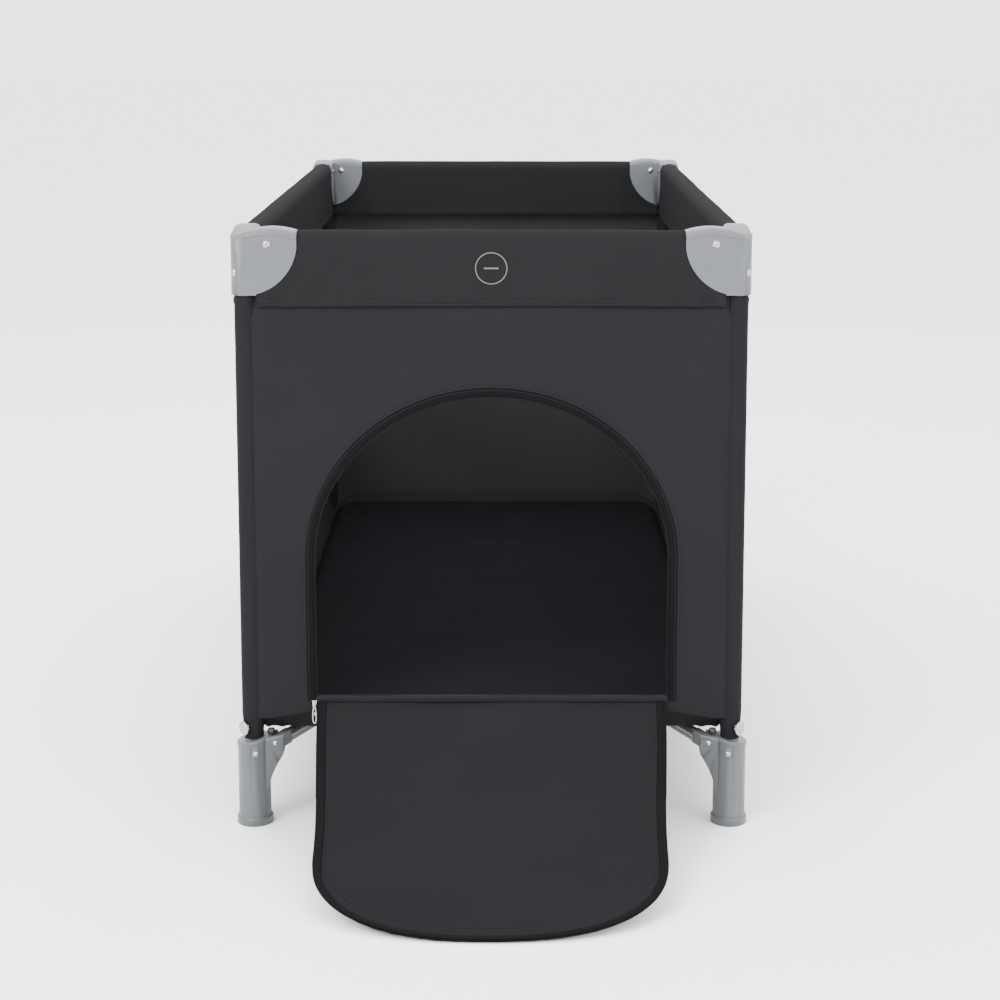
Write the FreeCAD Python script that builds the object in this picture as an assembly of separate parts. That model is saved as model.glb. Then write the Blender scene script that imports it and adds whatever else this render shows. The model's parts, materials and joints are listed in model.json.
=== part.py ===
import FreeCAD, Part
import math
import os

from FreeCAD import Vector

# Folding travel cot, 1250 x 652 x 766 mm, with an arched zip door in its front end.
# +Z is up, the door end faces -Y, and the origin is on the floor under the centre hub.
# Four upright posts stand on boots. Each top rail is two half rails hinged to a corner
# fitting and to a level latch in the middle. Four floor bars join the boots to the hub.
# All lengths are in millimetres.

# --- posts and the folding linkage ---
POST_X = 303.0
POST_Y = 602.0
POST_RADIUS = 11.0
POST_WALL = 1.2
POST_BOTTOM = 14.0
POST_TOP = 755.0
RAIL_Z = 744.0
RAIL_RADIUS = 9.5
RAIL_WALL = 1.2
RAIL_SETBACK = 28.0
LATCH_SETBACK = 25.0
BAR_Z = 105.0
BAR_RADIUS = 9.0
BAR_WALL = 1.2
HUB_PIVOT_RADIUS = 58.0
PIN_RADIUS = 3.0
RUNNING_GAP = 0.05

SHORT_RAIL = POST_X - RAIL_SETBACK - LATCH_SETBACK
LONG_RAIL = POST_Y - RAIL_SETBACK - LATCH_SETBACK
BAR_LENGTH = math.hypot(SHORT_RAIL, LONG_RAIL)
BAR_ALONG = Vector(SHORT_RAIL / BAR_LENGTH, LONG_RAIL / BAR_LENGTH, 0)
BAR_ACROSS = Vector(BAR_ALONG.y, -BAR_ALONG.x, 0)
HUB_PIVOT = Vector(BAR_ALONG.x * HUB_PIVOT_RADIUS, BAR_ALONG.y * HUB_PIVOT_RADIUS, BAR_Z)
BOOT_PIVOT = Vector(POST_X - SHORT_RAIL - HUB_PIVOT.x, POST_Y - LONG_RAIL - HUB_PIVOT.y, BAR_Z)

# --- flattened bar ends and the forks that hold them ---
LUG_THICKNESS = 10.0
LUG_LENGTH = 30.0
LUG_OVERLAP = 7.0
FORK_GAP = 10.8
FORK_WALL = 3.2
FORK_RADIUS = 10.2
FORK_RISE = 60.0
FORK_DROP = 11.0

# --- corner fittings ---
FITTING_OUT = 17.0
FITTING_IN = 15.0
FITTING_REACH = 65.0
FITTING_TOP = 764.5
FITTING_BOTTOM = 681.0
FITTING_CORNER = 14.0
FITTING_SHOULDER_Z = 750.0
FITTING_ROLL = 8.0
CHANNEL_OUT = 12.5
CHANNEL_IN = 11.0
CHANNEL_ROOF = 757.0
CHANNEL_START = 15.8
SOCKET_GAP = 0.2
HEEL_X = -8.0
TIP_DROP = 5.0

# --- rivets, screws and the press stud ---
RIVET_RADIUS = 4.8
RIVET_HEIGHT = 2.2
CORNER_SCREW_RADIUS = 4.4
CORNER_SCREW_Z = 709.0
SCREW_RADIUS = 3.6
SCREW_HEIGHT = 1.8
UPPER_SCREW = Vector(28, -13, 107.5)
LOWER_SCREW = Vector(4, -20.7, 95.5)
STUD_RADIUS = 9.0
STUD_THICKNESS = 2.4
STUD_CAP_RADIUS = 4.2
STUD_Z = 127.0

# --- boots ---
BOOT_RADIUS = 20.5
BOOT_TOP = 111.5
BOOT_TILT = 11.0
BOOT_RAISED = 124.0
LIP_GROW = 1.0
LIP_DEPTH = 4.5
FLANGE_RADIUS = 23.0
FLANGE_HEIGHT = 11.0
FLANGE_ROUND = 3.0
SHOULDER_REACH = 38.0
SHOULDER_HALF = 13.0
SHOULDER_BOTTOM = 92.0
SWEEP_MIDDLE = Vector(26, 0, 70)
SWEEP_FOOT = Vector(16, 0, 32)

# --- latches ---
LATCH_HALF_LENGTH = 40.0
LATCH_HALF_WIDTH = 12.3
LATCH_CHANNEL = 9.9
LATCH_TOP = 752.0
LATCH_BOTTOM = 730.0
LATCH_FLOOR = 2.2
LATCH_BLOCK = 11.0
LATCH_ROUND = 2.0
RAIL_PLUG = 14.0

# --- centre hub ---
HUB_RADIUS = 27.0
HUB_BOTTOM = 16.0
HUB_TOP = 114.0
HUB_ROUND = 6.0
HUB_FOOT_RADIUS = 32.0
HUB_FOOT_TOP = 15.8
HUB_FOOT_ROUND = 2.5
STRAP_HALF_X = 16.0
STRAP_HALF_Y = 70.0
STRAP_WIDTH = 9.0
STRAP_BOTTOM = 115.6
STRAP_TOP = 117.8

# --- fabric ---
SLEEVE_OUTER = 14.5
SLEEVE_INNER = 11.6
SLEEVE_BOTTOM = 119.0
SLEEVE_TOP = 679.0
WALL_THICKNESS = 3.0
WALL_BOTTOM = 140.0
WALL_TOP = 666.5
WALL_END_GAP = 9.5
COVER_HALF = 15.5
COVER_WALL = 1.6
COVER_TOP = 760.0
COVER_BOTTOM = 668.0
COVER_START = 67.0
COVER_ROUND = 13.5
COVER_MIDDLE_GAP = 0.3
WINDOW_HALF_LENGTH = 545.0
WINDOW_BOTTOM = 330.0
WINDOW_TOP = 658.0
WINDOW_CORNER = 45.0
MESH_THICKNESS = 1.2
FLOOR_BOTTOM = 119.0
FLOOR_THICKNESS = 2.0
FLOOR_HALF_X = 287.0
FLOOR_HALF_Y = 586.0
FLOOR_CORNER = 31.0
MATTRESS_HALF_X = 285.0
MATTRESS_HALF_Y = 582.0
MATTRESS_BOTTOM = 122.0
MATTRESS_THICKNESS = 25.0
MATTRESS_CORNER = 30.0

# --- door opening, flap and zip ---
DOOR_HALF = 222.0
SILL_Z = 165.0
DOOR_SPRING_Z = 350.0
DOOR_APEX_Z = 555.0
FLAP_HINGE = Vector(0, -620.5, 163.0)
FLAP_THICKNESS = 4.0
FLAP_TOP_HALF = 217.0
FLAP_CREASE_HALF = 208.0
FLAP_SIDE_HALF = 205.0
FLAP_CREASE = 150.0
FLAP_SIDE = 270.0
FLAP_LENGTH = 385.0
FLAP_CORNER = 78.0
FLAP_CORNER_TURN = 68.0
FLAP_UPPER_SLOPE = 31.0
FLAP_TIP_Z = 2.2
CREASE_GAP = 0.6
ZIP_X = -223.5
ZIP_GAP = 0.4
ZIP_STOP_HALF = 3.0
ZIP_STOP_BOTTOM = 146.0
ZIP_STOP_TOP = 150.0
ZIP_STOP_DEPTH = 2.6
SLIDER_HALF = 3.4
SLIDER_BOTTOM = 153.0
SLIDER_TOP = 166.0
SLIDER_DEPTH = 4.4
SLIDER_ROUND = 1.4
PULL_HALF = 3.0
PULL_BOTTOM = 135.0
PULL_TOP = 161.8
PULL_DEPTH = 6.0
PULL_THICKNESS = 1.2
PULL_ROUND = 2.4
PULL_EYE_RADIUS = 1.7
PULL_EYE_Z = 141.0

POSTS = {
    "front_left": (-1, -1),
    "front_right": (1, -1),
    "back_left": (-1, 1),
    "back_right": (1, 1),
}


def box(x0, x1, y0, y1, z0, z1):
    """A box between the given limits."""
    return Part.makeBox(x1 - x0, y1 - y0, z1 - z0, Vector(x0, y0, z0))


def rod(radius, start, end):
    """A solid round bar from start to end."""
    along = end - start
    return Part.makeCylinder(radius, along.Length, start, along)


def pipe(radius, wall, start, end):
    """A round tube from start to end."""
    return rod(radius, start, end).cut(rod(radius - wall, start, end))


def rounded_block(half_x, half_y, radius, z0, z1):
    """An upright block about the Z axis with rounded vertical edges."""
    block = box(-half_x, half_x, -half_y, half_y, z0, z1)
    upright = [e for e in block.Edges if abs(e.tangentAt(e.FirstParameter).z) > 0.99]
    return block.makeFillet(radius, upright)


def face_of(edges):
    """A flat face inside a closed run of edges."""
    return Part.Face(Part.Wire(Part.__sortEdges__(edges)))


def line(a, b):
    """A straight edge."""
    return Part.LineSegment(a, b).toShape()


def arc(a, middle, b):
    """A circular edge through three points."""
    return Part.Arc(a, middle, b).toShape()


def at_corner(shape, sx, sy):
    """Place a shape drawn about a post, with +X and +Y inboard, at one of the four posts."""
    placed = shape.copy()
    if sx > 0:
        placed = placed.mirror(Vector(0, 0, 0), Vector(1, 0, 0))
    if sy > 0:
        placed = placed.mirror(Vector(0, 0, 0), Vector(0, 1, 0))
    placed.translate(Vector(sx * POST_X, sy * POST_Y, 0))
    return placed


def swap_xy(shape):
    """The shape mirrored across the plane X = Y."""
    return shape.mirror(Vector(0, 0, 0), Vector(1, -1, 0))


# --- posts ---

def post_tube():
    """Upright steel tube from the boot to the corner fitting."""
    return pipe(POST_RADIUS, POST_WALL, Vector(0, 0, POST_BOTTOM), Vector(0, 0, POST_TOP))


def post_sleeve():
    """Fabric sleeve round the post."""
    wall = SLEEVE_OUTER - SLEEVE_INNER
    return pipe(SLEEVE_OUTER, wall, Vector(0, 0, SLEEVE_BOTTOM), Vector(0, 0, SLEEVE_TOP))


def fitting_wing():
    """One fan-shaped saddle of the corner fitting, reaching inboard along +X."""
    y = -FITTING_OUT
    shoulder = Vector(-FITTING_OUT, y, FITTING_SHOULDER_Z)
    tip = Vector(FITTING_REACH, y, FITTING_TOP - TIP_DROP)
    crown = Vector((tip.x + RAIL_SETBACK) / 2 - 10, y, FITTING_TOP)
    tip_foot = Vector(FITTING_REACH, y, RAIL_Z - TIP_DROP)
    heel = Vector(HEEL_X, y, FITTING_BOTTOM)
    outer_foot = Vector(-FITTING_OUT, y, FITTING_BOTTOM)
    sweep_middle = Vector(
        heel.x + (tip_foot.x - heel.x) * math.sqrt(0.5),
        y,
        tip_foot.z - (tip_foot.z - heel.z) * math.sqrt(0.5),
    )
    outline = [
        line(outer_foot, shoulder),
        arc(shoulder, crown, tip),
        line(tip, tip_foot),
        arc(tip_foot, sweep_middle, heel),
        line(heel, outer_foot),
    ]
    wing = face_of(outline).extrude(Vector(0, FITTING_OUT + FITTING_IN, 0))
    rolled = [
        e for e in wing.Edges
        if e.BoundBox.ZMin > FITTING_SHOULDER_Z - 1 and e.BoundBox.XLength > FITTING_REACH
    ]
    return wing.makeFillet(FITTING_ROLL, rolled)


def corner_fitting():
    """Moulded corner: a saddle over each rail and a socket for the post."""
    wing = fitting_wing()
    body = wing.fuse(swap_xy(wing)).removeSplitter()
    far = 2 * FITTING_REACH
    envelope = box(-FITTING_OUT, far, -FITTING_OUT, far, FITTING_BOTTOM - 1, FITTING_TOP + 1)
    outer_edge = [
        e for e in envelope.Edges
        if abs(e.tangentAt(e.FirstParameter).z) > 0.99
        and abs(e.CenterOfMass.x + FITTING_OUT) < 0.01
        and abs(e.CenterOfMass.y + FITTING_OUT) < 0.01
    ]
    body = body.common(envelope.makeFillet(FITTING_CORNER, outer_edge))
    channel = box(CHANNEL_START, far, -CHANNEL_OUT, CHANNEL_IN, 0, CHANNEL_ROOF)
    body = body.cut(channel).cut(swap_xy(channel))
    socket = rod(POST_RADIUS + SOCKET_GAP, Vector(0, 0, 0), Vector(0, 0, POST_TOP + 0.5))
    body = body.cut(socket)
    hole = rod(
        PIN_RADIUS + RUNNING_GAP,
        Vector(RAIL_SETBACK, -2 * FITTING_OUT, RAIL_Z),
        Vector(RAIL_SETBACK, 2 * FITTING_OUT, RAIL_Z),
    )
    return body.cut(hole).cut(swap_xy(hole))


def fork_slot(pivot, along, rise, drop):
    """Room for a bar's flattened end: past its pivot, along the bar, up by rise and down by drop."""
    across = Vector(along.y, -along.x, 0)
    half = FORK_GAP / 2
    back = pivot - along * FORK_RADIUS
    front = pivot + along * (3 * LUG_LENGTH)
    corners = [back - across * half, front - across * half, front + across * half, back + across * half]
    low = Vector(0, 0, -drop)
    outline = Part.makePolygon([c + low for c in corners] + [corners[0] + low])
    return Part.Face(outline).extrude(Vector(0, 0, rise + drop))


def above_boot(low, high):
    """A slab tilted like the boot's sloping top, from low to high above it."""
    far = 2 * SHOULDER_REACH
    slab = box(-far, far, -far, far, low, high)
    slab.rotate(Vector(0, 0, 0), Vector(0, 1, 0), -BOOT_TILT)
    slab.translate(Vector(0, 0, BOOT_TOP))
    return slab


def boot_lip():
    """Raised lip round the boot's sloping top, about the post and along the shoulder."""
    half = SHOULDER_HALF + LIP_GROW
    lip = rod(BOOT_RADIUS + LIP_GROW, Vector(0, 0, FLANGE_HEIGHT), Vector(0, 0, BOOT_RAISED))
    lip = lip.fuse(box(0, SHOULDER_REACH + LIP_GROW, -half, half, FLANGE_HEIGHT, BOOT_RAISED))
    return lip.removeSplitter().common(above_boot(-LIP_DEPTH, 0))


def foot_boot():
    """Moulded boot: round flanged foot, sloping lipped top and a forked shoulder for the floor bar."""
    body = rod(BOOT_RADIUS, Vector(0, 0, FLANGE_HEIGHT - 1), Vector(0, 0, BOOT_RAISED))
    flange = rod(FLANGE_RADIUS, Vector(0, 0, 0), Vector(0, 0, FLANGE_HEIGHT))
    rim = [e for e in flange.Edges if e.BoundBox.ZMin > FLANGE_HEIGHT - 0.01]
    flange = flange.makeFillet(FLANGE_ROUND, rim)
    side = Vector(0, -SHOULDER_HALF, 0)
    foot = side + SWEEP_FOOT
    middle = side + SWEEP_MIDDLE
    nose = side + Vector(SHOULDER_REACH, 0, SHOULDER_BOTTOM)
    nose_top = side + Vector(SHOULDER_REACH, 0, BOOT_RAISED)
    back_top = side + Vector(0, 0, BOOT_RAISED)
    back_foot = side + Vector(0, 0, SWEEP_FOOT.z)
    sweep = [
        line(back_foot, back_top),
        line(back_top, nose_top),
        line(nose_top, nose),
        arc(nose, middle, foot),
        line(foot, back_foot),
    ]
    shoulder = face_of(sweep).extrude(Vector(0, 2 * SHOULDER_HALF, 0))
    seat = rod(SCREW_RADIUS + 0.8, LOWER_SCREW, LOWER_SCREW + Vector(0, 5, 0))
    body = body.fuse(shoulder).fuse(seat).cut(above_boot(0, FORK_RISE))
    body = body.fuse(flange).fuse(boot_lip()).removeSplitter()
    body = body.cut(fork_slot(BOOT_PIVOT, BAR_ALONG, FORK_RISE, FORK_DROP))
    socket = rod(POST_RADIUS + SOCKET_GAP, Vector(0, 0, POST_BOTTOM - 1), Vector(0, 0, BOOT_RAISED))
    body = body.cut(socket)
    reach = BAR_ACROSS * SHOULDER_REACH
    return body.cut(rod(PIN_RADIUS + 0.02, BOOT_PIVOT - reach, BOOT_PIVOT + reach))


def domed_head(radius, height, base, outward):
    """A low rivet or screw head standing on base."""
    outward = Vector(outward).normalize()
    ball_radius = (radius * radius + height * height) / (2 * height)
    ball = Part.makeSphere(ball_radius, base + outward * (height - ball_radius))
    return ball.common(rod(radius, base, base + outward * height))


def rail_pin(sign):
    """Pivot pin of one rail with a rivet head outside; sign is 0 for the X rail, 1 for the Y rail."""
    start = Vector(RAIL_SETBACK, -FITTING_OUT, RAIL_Z)
    pin = rod(PIN_RADIUS, start, Vector(RAIL_SETBACK, FITTING_IN, RAIL_Z))
    pin = pin.fuse(domed_head(RIVET_RADIUS, RIVET_HEIGHT, start, Vector(0, -1, 0)))
    inner = Vector(RAIL_SETBACK, FITTING_IN, RAIL_Z)
    pin = pin.fuse(domed_head(RIVET_RADIUS, RIVET_HEIGHT, inner, Vector(0, 1, 0)))
    return swap_xy(pin) if sign else pin


def fasteners():
    """Rivets, screws, the bar's pivot pin and the press stud of one post."""
    diagonal = Vector(-1, -1, 0).normalize()
    corner_face = diagonal * (FITTING_OUT * math.sqrt(2) - FITTING_CORNER * (math.sqrt(2) - 1))
    screw = domed_head(CORNER_SCREW_RADIUS, 2.0, corner_face + Vector(0, 0, CORNER_SCREW_Z), diagonal)
    pin_half = BAR_ACROSS * (FORK_GAP / 2 + 4)
    bar_pin = rod(PIN_RADIUS, BOOT_PIVOT - pin_half, BOOT_PIVOT + pin_half)
    outward = Vector(0, -1, 0)
    boot_screw = domed_head(SCREW_RADIUS, SCREW_HEIGHT, UPPER_SCREW, outward)
    lower_screw = domed_head(SCREW_RADIUS, SCREW_HEIGHT, LOWER_SCREW, outward)
    stud_base = diagonal * SLEEVE_OUTER + Vector(0, 0, STUD_Z)
    stud_face = stud_base + diagonal * STUD_THICKNESS
    stud = rod(STUD_RADIUS, stud_base + diagonal * 0.1, stud_face)
    stud = stud.fuse(domed_head(STUD_CAP_RADIUS, SCREW_HEIGHT, stud_face, diagonal))
    solids = [rail_pin(0), rail_pin(1), screw, bar_pin, boot_screw, lower_screw, stud]
    return Part.makeCompound(solids)


# --- rails and latches ---

def half_rail(length):
    """Half rail along +X from its corner pivot at the origin to its latch pivot."""
    end = Vector(length, 0, 0)
    grip = RAIL_PLUG
    body = pipe(RAIL_RADIUS, RAIL_WALL, Vector(grip - 2, 0, 0), Vector(length - grip + 2, 0, 0))
    body = body.fuse(rod(RAIL_RADIUS, Vector(0, 0, 0), Vector(grip, 0, 0)))
    body = body.fuse(rod(RAIL_RADIUS, Vector(length - grip, 0, 0), end))
    eye_half = Vector(0, RAIL_RADIUS - 1, 0)
    for pivot in (Vector(0, 0, 0), end):
        body = body.fuse(rod(RAIL_RADIUS, pivot - eye_half, pivot + eye_half))
    for pivot in (Vector(0, 0, 0), end):
        body = body.cut(rod(PIN_RADIUS + RUNNING_GAP, pivot - eye_half * 2, pivot + eye_half * 2))
    return body.removeSplitter()


def half_cover(start, end):
    """Padded rail cover over one half rail along +X: an upside-down channel about the rail."""
    half = COVER_HALF

    def channel(inset):
        radius = COVER_ROUND - inset
        side = half - inset
        top = COVER_TOP - inset
        knee = radius * math.sqrt(0.5)
        left = [
            Vector(start, -side, COVER_BOTTOM),
            Vector(start, -side, top - radius),
            Vector(start, -side + radius - knee, top - radius + knee),
            Vector(start, -side + radius, top),
        ]
        right = [Vector(p.x, -p.y, p.z) for p in left]
        edges = [
            line(left[0], left[1]),
            arc(left[1], left[2], left[3]),
            line(left[3], right[3]),
            arc(right[3], right[2], right[1]),
            line(right[1], right[0]),
            line(right[0], left[0]),
        ]
        return face_of(edges).extrude(Vector(end - start, 0, 0))

    return channel(0).cut(channel(COVER_WALL))


def latch():
    """Level latch housing along X about the rail's middle, open above, with two trunnions."""
    length, width = LATCH_HALF_LENGTH, LATCH_HALF_WIDTH
    shell = box(-length, length, -width, width, LATCH_BOTTOM, LATCH_TOP)
    low_edges = [
        e for e in shell.Edges
        if e.BoundBox.ZMax < LATCH_BOTTOM + 0.01 and e.BoundBox.XLength > length
    ]
    shell = shell.makeFillet(LATCH_ROUND, low_edges)
    room = length + 1
    shell = shell.cut(
        box(-room, room, -LATCH_CHANNEL, LATCH_CHANNEL, LATCH_BOTTOM + LATCH_FLOOR, LATCH_TOP + 1)
    )
    half = LATCH_CHANNEL + 0.5
    shell = shell.fuse(box(-LATCH_BLOCK, LATCH_BLOCK, -half, half, LATCH_BOTTOM + 1, LATCH_TOP - 2))
    side = Vector(0, width - 0.5, 0)
    for x in (-LATCH_SETBACK, LATCH_SETBACK):
        centre = Vector(x, 0, RAIL_Z)
        shell = shell.fuse(rod(PIN_RADIUS, centre - side, centre + side))
    return shell.removeSplitter()


def turned(shape, degrees):
    """The shape turned about the Z axis."""
    copy = shape.copy()
    copy.rotate(Vector(0, 0, 0), Vector(0, 0, 1), degrees)
    return copy


def rail_parts(nodes):
    """Half rails, covers and latches of the four sides."""
    sides = (
        ("front", ("left", "right"), SHORT_RAIL, 0, Vector(0, -POST_Y, 0)),
        ("back", ("left", "right"), SHORT_RAIL, 0, Vector(0, POST_Y, 0)),
        ("left", ("front", "back"), LONG_RAIL, 90, Vector(-POST_X, 0, 0)),
        ("right", ("front", "back"), LONG_RAIL, 90, Vector(POST_X, 0, 0)),
    )
    for side, ends, length, degrees, place in sides:
        reach = length + LATCH_SETBACK
        rail = half_rail(length)
        rail.translate(Vector(-reach, 0, RAIL_Z))
        cover = half_cover(-(reach + RAIL_SETBACK - COVER_START), -COVER_MIDDLE_GAP)
        for end, spin in zip(ends, (0, 180)):
            for name, shape in (("rail", rail), ("rail_cover", cover)):
                placed = turned(shape, degrees + spin)
                placed.translate(place)
                nodes[f"{name}_{side}_{end}"] = placed
        housing = turned(latch(), degrees)
        housing.translate(place)
        nodes[f"latch_{side}"] = housing


# --- floor bars and hub ---

def bar_lug(pivot, along):
    """Flattened bar end with its eye about the pivot, running along the bar."""
    across = Vector(along.y, -along.x, 0) * (LUG_THICKNESS / 2)
    eye = rod(BAR_RADIUS, pivot - across, pivot + across)
    blade = box(0, LUG_LENGTH, -LUG_THICKNESS / 2, LUG_THICKNESS / 2, -BAR_RADIUS, BAR_RADIUS)
    blade.rotate(Vector(0, 0, 0), Vector(0, 0, 1), math.degrees(math.atan2(along.y, along.x)))
    blade.translate(pivot)
    return eye.fuse(blade)


def floor_bar():
    """Floor bar of the front-left post, drawn about that post with +X and +Y inboard."""
    far_pivot = BOOT_PIVOT + BAR_ALONG * BAR_LENGTH
    inset = BAR_ALONG * (LUG_LENGTH - LUG_OVERLAP)
    body = pipe(BAR_RADIUS, BAR_WALL, BOOT_PIVOT + inset, far_pivot - inset)
    for pivot, along in ((BOOT_PIVOT, BAR_ALONG), (far_pivot, BAR_ALONG * -1)):
        body = body.fuse(bar_lug(pivot, along))
        cap = rod(BAR_RADIUS, pivot + along * (LUG_LENGTH - LUG_OVERLAP), pivot + along * LUG_LENGTH)
        body = body.fuse(cap)
    reach = BAR_ACROSS * (2 * BAR_RADIUS)
    for pivot in (BOOT_PIVOT, far_pivot):
        body = body.cut(rod(PIN_RADIUS + RUNNING_GAP, pivot - reach, pivot + reach))
    return body.removeSplitter()


def hub_arm():
    """One forked arm of the hub, toward +X and +Y, with the bar's pivot pin."""
    outer = HUB_PIVOT
    half = FORK_GAP / 2 + FORK_WALL
    across = BAR_ACROSS * half
    cheek = rod(FORK_RADIUS, outer - across, outer + across)
    blade = box(0, HUB_PIVOT_RADIUS, -half, half, -FORK_RADIUS, FORK_RADIUS)
    blade.rotate(Vector(0, 0, 0), Vector(0, 0, 1), math.degrees(math.atan2(BAR_ALONG.y, BAR_ALONG.x)))
    blade.translate(Vector(0, 0, BAR_Z))
    arm = cheek.fuse(blade)
    arm = arm.cut(fork_slot(outer, BAR_ALONG, FORK_RISE, FORK_RISE))
    pin = rod(PIN_RADIUS, outer - across, outer + across)
    return arm.fuse(pin)


def hub_body():
    """Moulded centre hub: a column on the floor with four forked arms."""
    body = rod(HUB_RADIUS, Vector(0, 0, HUB_BOTTOM), Vector(0, 0, HUB_TOP))
    top = [e for e in body.Edges if abs(e.BoundBox.ZMin - HUB_TOP) < 0.01 and e.BoundBox.XLength > 1]
    body = body.makeFillet(HUB_ROUND, top)
    for sx in (-1, 1):
        for sy in (-1, 1):
            arm = hub_arm()
            if sx < 0:
                arm = arm.mirror(Vector(0, 0, 0), Vector(1, 0, 0))
            if sy < 0:
                arm = arm.mirror(Vector(0, 0, 0), Vector(0, 1, 0))
            body = body.fuse(arm)
    return body.removeSplitter()


def hub_foot():
    """Rubber foot under the hub."""
    foot = rod(HUB_FOOT_RADIUS, Vector(0, 0, 0), Vector(0, 0, HUB_FOOT_TOP))
    rims = [e for e in foot.Edges if e.BoundBox.XLength > 1 and e.BoundBox.ZLength < 0.01]
    return foot.makeFillet(HUB_FOOT_ROUND, rims)


def hub_strap():
    """Webbing pull loop lying flat on the hub, used to lift it when folding the cot."""
    inner_x = STRAP_HALF_X - STRAP_WIDTH
    inner_y = STRAP_HALF_Y - STRAP_WIDTH
    outer = rounded_block(STRAP_HALF_X, STRAP_HALF_Y, STRAP_HALF_X - 1, STRAP_BOTTOM, STRAP_TOP)
    return outer.cut(rounded_block(inner_x, inner_y, inner_x - 1, STRAP_BOTTOM - 1, STRAP_TOP + 1))


# --- walls, floor and mattress ---

def wall_sheet(half_length, thickness):
    """An upright sheet along X, centred on the origin."""
    half = thickness / 2
    return box(-half_length, half_length, -half, half, WALL_BOTTOM, WALL_TOP)


def window_block(grow, thickness):
    """The side window's outline along X, grown all round, as a block."""
    half_height = (WINDOW_TOP - WINDOW_BOTTOM) / 2 + grow
    block = rounded_block(WINDOW_HALF_LENGTH + grow, half_height, WINDOW_CORNER, -thickness / 2, thickness / 2)
    block.rotate(Vector(0, 0, 0), Vector(1, 0, 0), 90)
    block.translate(Vector(0, 0, (WINDOW_TOP + WINDOW_BOTTOM) / 2))
    return block


def door_arch():
    """Block of the arched door opening: straight sides, then half an ellipse."""
    y = -2 * WALL_THICKNESS
    half_width = DOOR_HALF
    rise = DOOR_APEX_Z - DOOR_SPRING_Z
    ellipse = Part.Ellipse(Vector(0, y, DOOR_SPRING_Z), half_width, rise)
    ellipse.Axis = Vector(0, -1, 0)
    ellipse.XAxis = Vector(1, 0, 0)
    crown = Part.ArcOfEllipse(ellipse, 0, math.pi).toShape()
    low_left = Vector(-half_width, y, SILL_Z)
    low_right = Vector(half_width, y, SILL_Z)
    edges = [
        crown,
        line(Vector(-half_width, y, DOOR_SPRING_Z), low_left),
        line(low_left, low_right),
        line(low_right, Vector(half_width, y, DOOR_SPRING_Z)),
    ]
    return face_of(edges).extrude(Vector(0, 4 * WALL_THICKNESS, 0))


def walls(nodes):
    """The four fabric walls, the mesh windows, the fabric floor and the mattress."""
    out = SLEEVE_OUTER + 0.5 - WALL_THICKNESS / 2
    end = wall_sheet(POST_X - WALL_END_GAP, WALL_THICKNESS)
    front = end.cut(door_arch())
    front.translate(Vector(0, -POST_Y - out, 0))
    rear = end.copy()
    rear.translate(Vector(0, POST_Y + out, 0))
    nodes["front_panel"] = front
    nodes["rear_panel"] = rear
    side = wall_sheet(POST_Y - WALL_END_GAP, WALL_THICKNESS).cut(window_block(0, 4 * WALL_THICKNESS))
    mesh = window_block(-0.4, MESH_THICKNESS)
    for name, sx in (("left", -1), ("right", 1)):
        for label, shape in (("side_panel", side), ("mesh_window", mesh)):
            placed = turned(shape, 90)
            placed.translate(Vector(sx * (POST_X + out), 0, 0))
            nodes[f"{label}_{name}"] = placed
    nodes["floor_fabric"] = rounded_block(
        FLOOR_HALF_X, FLOOR_HALF_Y, FLOOR_CORNER,
        FLOOR_BOTTOM, FLOOR_BOTTOM + FLOOR_THICKNESS,
    )
    nodes["mattress"] = rounded_block(
        MATTRESS_HALF_X, MATTRESS_HALF_Y, MATTRESS_CORNER,
        MATTRESS_BOTTOM, MATTRESS_BOTTOM + MATTRESS_THICKNESS,
    )


# --- door flap and zip ---

def flap_outline():
    """The flap lying flat: X across, -Y along it from the hinge to the rounded free end."""
    side = Vector(FLAP_SIDE_HALF, -FLAP_SIDE, 0)
    centre = Vector(FLAP_SIDE_HALF - FLAP_CORNER, -FLAP_SIDE, 0)
    turn = math.radians(FLAP_CORNER_TURN)
    corner_end = centre + Vector(math.cos(turn), -math.sin(turn), 0) * FLAP_CORNER
    corner_middle = centre + Vector(math.cos(turn / 2), -math.sin(turn / 2), 0) * FLAP_CORNER
    right = [Vector(FLAP_TOP_HALF, 0, 0), Vector(FLAP_CREASE_HALF, -FLAP_CREASE, 0), side, corner_middle, corner_end]
    left = [Vector(-p.x, p.y, 0) for p in right]
    edges = [line(left[0], right[0])]
    for run in (right, left):
        edges.append(line(run[0], run[1]))
        edges.append(line(run[1], run[2]))
        edges.append(arc(run[2], run[3], run[4]))
    edges.append(arc(corner_end, Vector(0, -FLAP_LENGTH, 0), left[4]))
    return face_of(edges)


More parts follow.
